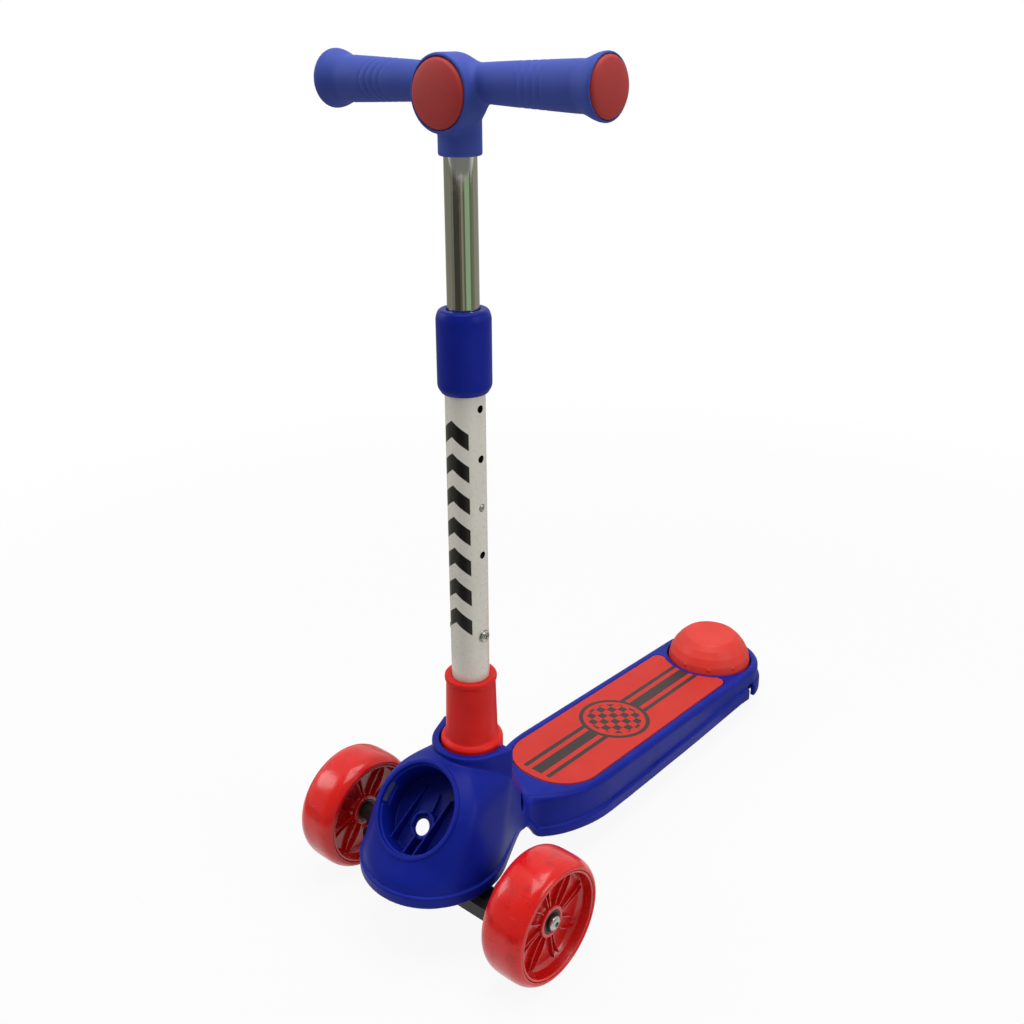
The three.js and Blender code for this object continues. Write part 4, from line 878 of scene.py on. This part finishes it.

# %% [markdown]
# ## The column
#
# A white tube stands in the boss, held by a red collar whose flange lies in the boss's seat. Four
# holes in its side set the height: three are open, dark with painted shade on their walls, and the
# fourth shows the button. A cross bolt holds the tube at its foot. A blue sleeve caps it, and the
# chromed tube comes out of that.

# %% Drill tubes, and shape bolt heads
def drilled(target, holes):
    """Drills round holes: each one is a start, an end and a radius, in millimetres."""
    for start, end, radius in holes:
        start, way = Vector(start), Vector(end) - Vector(start)
        verts, faces = lathe(box(0, radius, 0, way.length), segments=32)
        turn = way.to_track_quat("Z", "Y")
        start.y += COLUMN_BACK
        drill = add_mesh("drill", [((turn @ v) + start) * MM for v in verts], faces)
        cut = target.modifiers.new("hole", "BOOLEAN")
        cut.operation, cut.solver, cut.object = "DIFFERENCE", "EXACT", drill
        bpy.context.view_layer.update()
        graph = bpy.context.evaluated_depsgraph_get()
        done = bpy.data.meshes.new_from_object(target.evaluated_get(graph))
        target.modifiers.clear()
        old, target.data = target.data, done
        bpy.data.meshes.remove(old)
        bpy.data.objects.remove(drill)
    target.data.shade_smooth()
    target.data.set_sharp_from_angle(angle=math.radians(40))
    print(target.name, "drilled", len(holes), "times")


def socket_head(radius, height, socket):
    """A domed bolt head along X with a hexagon socket, its flat side at zero."""
    head = Space((-0.8, -radius - 1, -radius - 1), (height + 1, radius + 1, radius + 1), 0.25)
    out = far(head.y, head.z)
    crown = height * np.sqrt(np.maximum(1 - (out / (radius * 1.22)) ** 2, 0.01))
    form = rounded(out - radius, both(head.x - crown, -head.x), 0.45)
    pocket = both(hexagon(head.y, head.z) - socket, height * 0.35 - head.x)
    return head.skin(carve(form, pocket, 0.2))


# %% Build the column
HOLES, BUTTON_AT = (369.0, 415.0, 461.0, 507.0), 415.0
BOLT_AT = (0, 0, 287)
tube = piece("lower_tube_skin", ring(box(16.15, TUBE_RADIUS, 92.5, 590), 0.4), white_tube, "frame",
             ["lower_tube"])
drilled(tube, [((10, 0, hole), (24, 0, hole), 3.5) for hole in HOLES])

COLLAR = [(18.0, 160.4), (29.9, 160.4), (29.9, 173.4), (28.3, 175.6), (25.7, 177.4), (25.1, 182),
          (24.7, 186), (23.5, 234.6), (23.5, 235.6), (24.7, 237.2), (24.7, 240.6), (23.4, 242),
          (18.0, 242)]
SLEEVE = [(18.0, 519.5), (20.4, 519.5), (23.9, 525.5), (23.9, 586), (22.1, 591.2), (20.0, 593),
          (14.5, 593), (14.5, 590.4), (18.0, 590.4)]
piece("collar", ring(COLLAR, 1.2), collar_red, "frame", ["steering_collar"], 55)
piece("sleeve", ring(SLEEVE, 2.5), blue_moulding, "frame", ["tube_sleeve"], 55)

chromed = piece("chrome_tube", ring(box(12.4, 13.9, 345.2, 764.3), 0.4), chrome, "t_bar",
                ["upper_tube"])
drilled(chromed, [((9, 0, BUTTON_AT), (18, 0, BUTTON_AT), 3.4)])

BUTTON = [(0, 13.2), (3.05, 13.2), (3.05, 17.3), (2.5, 18.2), (1.2, 18.6), (0, 18.65)]
piece("lock_button", lathe(soften(BUTTON, 0.6), "X", (0, 0, BUTTON_AT), 48), zinc,
      "height_button", ["snap_clip"])
bolt = merged(placed(socket_head(5.2, 3.0, 1.7), (18.0, 0, BOLT_AT[2])),
              ring(box(3.2, 6.0, 17.6, 18.1), 0.2, "X", BOLT_AT, 48),
              lathe(box(0, 2.9, -21, 18.2), "X", BOLT_AT, 32))
piece("column_bolt_head", bolt, zinc, "frame", ["column_bolt"])

# %% [markdown]
# ## The handlebar
#
# Hub, grips and neck are one soft-touch moulding, so wide fillets run between them. The grips widen
# outwards and end in a flare. Four shallow grooves cross the middle of each, bent a little, where
# the fingers lie. The dull red caps are pressed into a shallow seat at the hub and at each end.

# %% Build the handlebar
SIDES = (("left", 1), ("right", -1))
BAR, HUB = 775.8, 768.0
BAR_HALF, HUB_RADIUS, NECK_RADIUS = 147, 31, 18.1
GROOVES_AT, GROOVES_HALF, GROOVE_PITCH, GROOVE_DEEP, GROOVE_BEND = 82, 15, 7.5, 0.5, 3.5
bar = Space((-150, -28, 716), (150, 33, 803), 1.0)
x, y, z, run = bar.x, bar.y, bar.z, abs(bar.x)
bar_out, hub_out, neck_out = far(y, z - BAR), far(x, z - HUB), far(x, y)
flare = np.clip((run - 124) / 21, 0, 1)
girth = 14.9 + 4.6 * np.clip((run - 20) / 100, 0, 1) ** 0.8 + 5.5 * flare ** 2 * (3 - 2 * flare)
wave = run - GROOVES_AT - GROOVE_BEND * np.cos(2 * np.arctan2(z - BAR, y))
wave = np.clip(wave, -GROOVES_HALF, GROOVES_HALF)
groove = np.clip(-np.cos(wave * 2 * math.pi / GROOVE_PITCH), 0, 1)
groove = groove * np.clip((GROOVES_HALF - abs(wave)) / 3, 0, 1)
grips = rounded((bar_out - girth + GROOVE_DEEP * groove) * 0.96, run - BAR_HALF, 2.2)
hub_back = np.maximum(y + 4, 0) * HUB_RADIUS / 20
hub = rounded(far(hub_out, hub_back) - HUB_RADIUS, -25 - y, 2.5)
neck = rounded(neck_out - NECK_RADIUS, both(719 - z, z - 770), 2.0)
form = fuse(fuse(grips, neck, 14), hub, 5)
for seat in (both(hub_out - 27.9, y + 21.6), both(bar_out - 23.1, 143.2 - run),
             both(neck_out - 14.2, z - 742)):
    form = carve(form, seat)
piece("bar_moulding", bar.skin(both(form, run - BAR_HALF - 0.2, -26.5 - y)), grip_moulding,
      "t_bar", ["handlebar_shell"], 60)


def cap_shape(radius, low, high, dome, axis, centre=(0, 0, 0)):
    """A pressed-in cap: a straight edge, then a shallow dome."""
    crown = [(radius * math.cos(t), high + dome * math.sin(t))
             for t in np.linspace(0.35, math.pi / 2, 14)]
    edge = soften([(0, low), (radius, low), (radius, high - 0.8)], 0.3)
    return lathe(edge + crown[:-1] + [(0, high + dome)], axis, centre, 128)


cap_verts, cap_faces = cap_shape(27.5, 21.4, 25.2, 5.4, "Z")
piece("hub_cap_skin", ([Vector((v.x, -v.z, v.y + HUB)) for v in cap_verts], cap_faces), cap_red,
      "t_bar", ["hub_cap"], 55)
for side, way in SIDES:
    plug = cap_shape(22.7, 143.6, 147.2, 4.2, "X", (0, 0, BAR))
    piece(f"{side}_grip_plug", placed(plug, way=way), cap_red, "t_bar", [f"{side}_end_plug"],
          55)

# %% [markdown]
# ## The wheels
#
# A clear red urethane tyre is cast round a red core. It is glossy, a little cloudy inside, and its
# tread is marked into faint blocks. The core is a dished disc with thin curved ribs, some in pairs,
# between a hub ring and the rim. Its bearing has a steel race and a black shield.

# %% Mix the wheel finishes
def tread_paint(name, centre, radius, blocks):
    """Glossy, slightly cloudy urethane whose tread is marked into staggered blocks."""
    paint = Paint(name)
    across = paint.x - centre[0]
    y, z = paint.y - (centre[1] + COLUMN_BACK), paint.z - centre[2]
    turn = paint.around(y, z) * blocks
    place = (turn + across.rise(-0.2, 0.2) * 0.5) % 1
    line = (place - 0.5).within(0.30 / (2 * math.pi * radius / blocks), 0.006)
    middle = across.within(0.16, 0.12) * (turn % 2).rise(0.9, 1.1)
    on_tread = (y * y + z * z).root().rise(radius - 4.5, radius - 1.5)
    marks = line.higher(middle) * on_tread * paint.noise(16, 2).rise(0.38, 0.55)
    cloud = paint.noise(17, 3, rough=0.6)
    bubbles = paint.dots(15, 1.3) * paint.noise(40).rise(0.52, 0.6)
    smudge = paint.noise(5.5, 5, rough=0.75).rise(0.60, 0.70) * paint.noise(26, 2).rise(0.52, 0.66)
    base = paint.blend(srgb(226, 26, 18), srgb(208, 14, 11), cloud)
    for colour, share in (((180, 8, 7), cloud.rise(0.56, 0.62) * on_tread * 0.4),
                          ((126, 6, 8), marks * 0.35), ((110, 4, 6), bubbles * 0.5),
                          ((236, 120, 104), smudge * 0.30)):
        base = paint.blend(base, srgb(*colour), share)
    return paint.finish(
        Base_Color=base, Roughness=smudge * 0.25 + 0.2 + paint.noise(3, 2) * 0.04, IOR=1.5,
        Specular_IOR_Level=0.35, Coat_Weight=0.12, Coat_Roughness=0.08, Subsurface_Weight=0.12,
        Subsurface_Radius=(1.0, 0.12, 0.08), Subsurface_Scale=0.006,
        Normal=paint.relief(marks * -0.6 + bubbles * 0.6 + cloud * 0.3, 0.2))


core_paint = Paint("wheel_core")
core_cloud = core_paint.noise(12, 3)
core_red = core_paint.finish(
    Base_Color=core_paint.blend(srgb(212, 20, 15), srgb(186, 10, 10), core_cloud),
    Roughness=core_cloud * 0.1 + 0.22, Coat_Weight=0.3, Coat_Roughness=0.1,
    Subsurface_Weight=0.1, Subsurface_Radius=(1.0, 0.1, 0.08), Subsurface_Scale=0.004,
    Normal=core_paint.relief(core_paint.noise(6, 2), 0.15))
print("wheel core", core_red.name)


# %% Shape a wheel
SECTION = [(-0.5, 0), (-0.5, 0.82), (-0.3, 1.0), (0.3, 1.0), (0.5, 0.82), (0.5, 0)]
RIB_STATIONS, SPOKES = 12, 12
CORE_FACE, FRONT_WEB, REAR_WEB, BEARING_WIDE = 8.5, 8.5, 4.5, 6.5
FRONT_RADIUS = 60


def spoke(turn, bend, low, high, start, end, thick):
    """One thin curved rib that stands on the core's web, from start to end out from the axle."""
    verts, faces = [], []
    for k in range(RIB_STATIONS):
        share = k / (RIB_STATIONS - 1)
        out = start + (end - start) * share
        lift = 1 - 0.25 * max(0, share - 0.8) / 0.2
        for aside, up in SECTION:
            swing = turn + bend * share ** 1.6 + aside * thick / out
            height = low + (high - low) * up * (lift if up > 0.5 else 1)
            verts.append((height, out * math.cos(swing), out * math.sin(swing)))
    wide = len(SECTION)
    for k in range(RIB_STATIONS - 1):
        faces += [[a, a + 1, a + wide + 1, a + wide] for a in range(wide * k, wide * (k + 1) - 1)]
    return verts, faces + [list(range(wide)), list(range(wide * (RIB_STATIONS - 1), len(verts)))]


# %% Put a wheel together
def wheel(side, centre, radius, width, rim, way, blocks):
    """Tyre, ribbed core and two bearings of one wheel whose axle lies along X."""
    half, size, carrier = width / 2, radius / FRONT_RADIUS, f"{side}_wheel"
    finish = tread_paint(f"{side}_urethane", centre, radius, blocks)
    crown = [(radius - 5.2 * size * abs(t) ** 4.5 - 0.5 * size * t * t, t * (half - 0.4))
             for t in np.linspace(-1, 1, 33)]
    tyre = [(rim + 0.3, -half + 1.2), (rim + 1.2, -half), *crown, (rim + 1.2, half),
            (rim + 0.3, half - 1.2)]
    tyre = ring(tyre, 1.5 * size, "X", segments=144, steps=3)
    piece(f"{side}_tread", placed(tyre, centre, way), finish, carrier, [f"{side}_tyre"],
          60)
    face, web = half - CORE_FACE, FRONT_WEB if size == 1 else REAR_WEB
    outer = [(rim, half - 0.8), (rim - 2.2, half - 0.8), (rim - 3.2, web + 4),
             (rim - 6, web + 0.6), (18, web), (15.6, web + 1.5), (15.0, face), (11.1, face)]
    core = [(r, -along) for r, along in reversed(outer)] + outer
    parts = [ring(core, 1.2, "X", segments=144, steps=3)]
    for flip in (1, -1):
        for k in range(SPOKES):
            bend = (0.10, 0.26, -0.22)[k % 3]
            for offset in (-0.075, 0.075) if k % 3 == 0 else (0,):
                turn = 2 * math.pi * k / SPOKES + 0.12 + offset
                parts.append(placed(spoke(turn, bend, web - 0.6, half - 10.4, 15.2, rim - 2.6,
                                          1.25 * size), way=flip))
    piece(f"{side}_ribbed_core", placed(merged(*parts), centre, way), core_red, carrier,
          [f"{side}_wheel_core"], 50)
    edge = face - 0.5
    races = merged(*[ring(box(*radii, edge - BEARING_WIDE, edge), soft, "X", segments=64, steps=3)
                     for radii, soft in (((9.3, 10.8), 0.35), ((4.2, 5.9), 0.3))])
    seal = ring(box(5.9, 9.4, edge - 1.2, edge - 0.35), 0.2, "X", segments=64, steps=3)
    for place, sign in (("outer", way), ("inner", -way)):
        piece(f"{side}_{place}_races", placed(races, centre, sign), dark_steel, carrier,
              [f"{side}_{place}_bearing"])
        piece(f"{side}_{place}_seal", placed(seal, centre, sign), black_rubber, carrier, ())


# %% Build the wheels
FRONT_WIDTH, FRONT_RIM, FRONT_BLOCKS = 46, 51, 20
for side, way in SIDES:
    centre = (way * 121.5, -45.4, 60.0)
    wheel(side, centre, FRONT_RADIUS, FRONT_WIDTH, FRONT_RIM, way, FRONT_BLOCKS)
    start = FRONT_WIDTH / 2 - CORE_FACE + 0.1
    bolt = merged(placed(socket_head(7.0, 5.2, 2.4), (start, 0, 0)),
                  lathe(box(0, 3.9, -40, start + 0.4), "X", segments=32))
    piece(f"{side}_axle_head", placed(bolt, centre, way), zinc, "truck", [f"{side}_axle_bolt"])
wheel("rear", (0.0, AXLE_BACK, 40.0), 40, 30, 32, 1, 14)

# %% [markdown]
# ## The brake dome
#
# The dome over the rear wheel is pressed with the heel. It has straight sides, a shoulder and a
# flat top. Small raised drips stand round its side for grip, so it is measured on a grid as well.
# Two guide posts reach down from it.

# %% Build the dome
def outline_distance(across, up, points):
    """Signed distance to a closed outline in two dimensions."""
    nearest = np.full(np.broadcast(across, up).shape, 1e9, np.float32)
    sign = np.ones_like(nearest)
    for (ax, ay), (bx, by) in zip(points, points[1:] + points[:1]):
        ex, ey = bx - ax, by - ay
        wx, wy = across - ax, up - ay
        share = np.clip((wx * ex + wy * ey) / (ex * ex + ey * ey), 0, 1)
        nearest = np.minimum(nearest, (wx - ex * share) ** 2 + (wy - ey * share) ** 2)
        first, second, third = up >= ay, up < by, ex * wy > ey * wx
        flip = (first & second & third) | (~first & ~second & ~third)
        sign = np.where(flip, -sign, sign)
    return sign * np.sqrt(nearest)


DOME_THICK, DRIPS, DRIP_RADIUS, BLOB_RADIUS = 2.6, 10, 0.9, 1.5
POST_X, POST_Y = 35, 14.5
DOME_SIDE = [(-9.0, 91.0), (30.5, 91.0), (32.6, 90.0), (38.4, 84.6), (44.2, 77.0), (48.6, 68.0),
             (50.6, 60.0), (51.2, 53.0), (51.2, 46.0)]
DRIP_ENDS = [(49.0, 65.5), (42.4, 77.6), (48.9, 65.5)]
POST = [(0, 37), (3, 37), (3, 67), (5.4, 67), (5.4, 70), (3, 70), (3, 77), (0, 77)]
dome = Space((-54, -54, 43), (54, 54, 94), 0.9)
dome_inside = [(r - DOME_THICK, h - (DOME_THICK if h > 60 else 0)) for r, h in DOME_SIDE]
form = outline_distance(far(dome.x, dome.y), dome.z, DOME_SIDE + dome_inside[::-1])
for k in range(DRIPS):
    turn = 2 * math.pi * (k + 0.35) / DRIPS
    low, high, bead = [Vector((r * math.cos(turn), r * math.sin(turn), h)) for r, h in DRIP_ENDS]
    blob = far(dome.x - bead.x, dome.y - bead.y, dome.z - bead.z) - BLOB_RADIUS
    form = fuse(form, fuse(dome.rod(low, high, DRIP_RADIUS), blob, 1.0), 1.2)
posts = [lathe(soften(POST, 0.3), "Z", (end * POST_X, end * POST_Y, 0), 32) for end in (-1, 1)]
piece("dome_moulding", placed(merged(dome.skin(form), *posts), (0, AXLE_BACK, 0)), dome_red,
      "foot_brake", ["brake_dome"], 60)

# %% [markdown]
# ## The brake's springs
#
# Two coil springs stand round the dome's posts and lift it. A coil is a round wire swept along a
# helix.

# %% Wind the springs
SPRING_LOW, SPRING_HIGH, SPRING_TURNS, PRESS = 40.3, 66.7, 7, 5.0
COIL_RADIUS, WIRE, COIL_STEPS, WIRE_SIDES = 4.6, 0.7, 28, 8  # WIRE is half the wire's width


def coil(centre):
    """A round wire wound upwards round a centre, with flat ends."""
    verts, faces = [], []
    count = SPRING_TURNS * COIL_STEPS
    climb = SPRING_HIGH - SPRING_LOW - 2 * WIRE
    for k in range(count + 1):
        turn = 2 * math.pi * k / COIL_STEPS
        share = min(max((k - COIL_STEPS / 2) / (count - COIL_STEPS), 0), 1)
        for s in range(WIRE_SIDES):
            tilt = 2 * math.pi * s / WIRE_SIDES
            out, up = COIL_RADIUS + WIRE * math.cos(tilt), WIRE * math.sin(tilt)
            verts.append(Vector((out * math.cos(turn), out * math.sin(turn),
                                 SPRING_LOW + WIRE + climb * share + up)) + centre)
    for low in range(0, WIRE_SIDES * count, WIRE_SIDES):
        for s in range(WIRE_SIDES):
            a, b = low + s, low + (s + 1) % WIRE_SIDES
            faces.append([a, b, b + WIRE_SIDES, a + WIRE_SIDES])
    return verts, faces + [list(range(WIRE_SIDES)), list(range(WIRE_SIDES * count, len(verts)))]


for side, end in SIDES:
    centre = Vector((end * POST_X, AXLE_BACK + end * POST_Y, 0))
    spring = piece(f"{side}_coil", coil(centre), zinc, "frame", [f"{side}_brake_spring"])
    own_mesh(spring)

# %% [markdown]
# ## The pieces that the frame already has right
#
# The truck's beam, the bushes, nuts and spacers are simple solids that sit in the shade. Their CAD
# shapes stay and get a finish, and the beam gets a small bevel, because its edge can be seen.

# %% Finish the frame's own pieces
STEEL = ["stem_insert", "column_nut", "kingpin", "kingpin_nut", "rear_axle_bolt", "rear_axle_nut",
         "rear_bearing_spacer", "rear_left_washer", "rear_right_washer", "left_bearing_spacer",
         "right_bearing_spacer", "brake_pad", "left_brake_screw", "right_brake_screw", "cross_tube"]
NYLON = ["glide_bush", "truck_beam", "upper_kingpin_bush", "lower_kingpin_bush", "foot_bush"]
RUBBER = ["left_bumper", "right_bumper"]
for names, material in ((STEEL, zinc), (NYLON, black_nylon), (RUBBER, black_rubber)):
    for name in names:
        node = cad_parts[name]
        node.data.materials.clear()
        node.data.materials.append(material)
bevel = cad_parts["truck_beam"].modifiers.new("soft_edges", "BEVEL")
bevel.width, bevel.segments = 0.0012, 3
bevel.limit_method, bevel.angle_limit = "ANGLE", math.radians(35)
print("kept", len(STEEL + NYLON + RUBBER), "frame pieces")
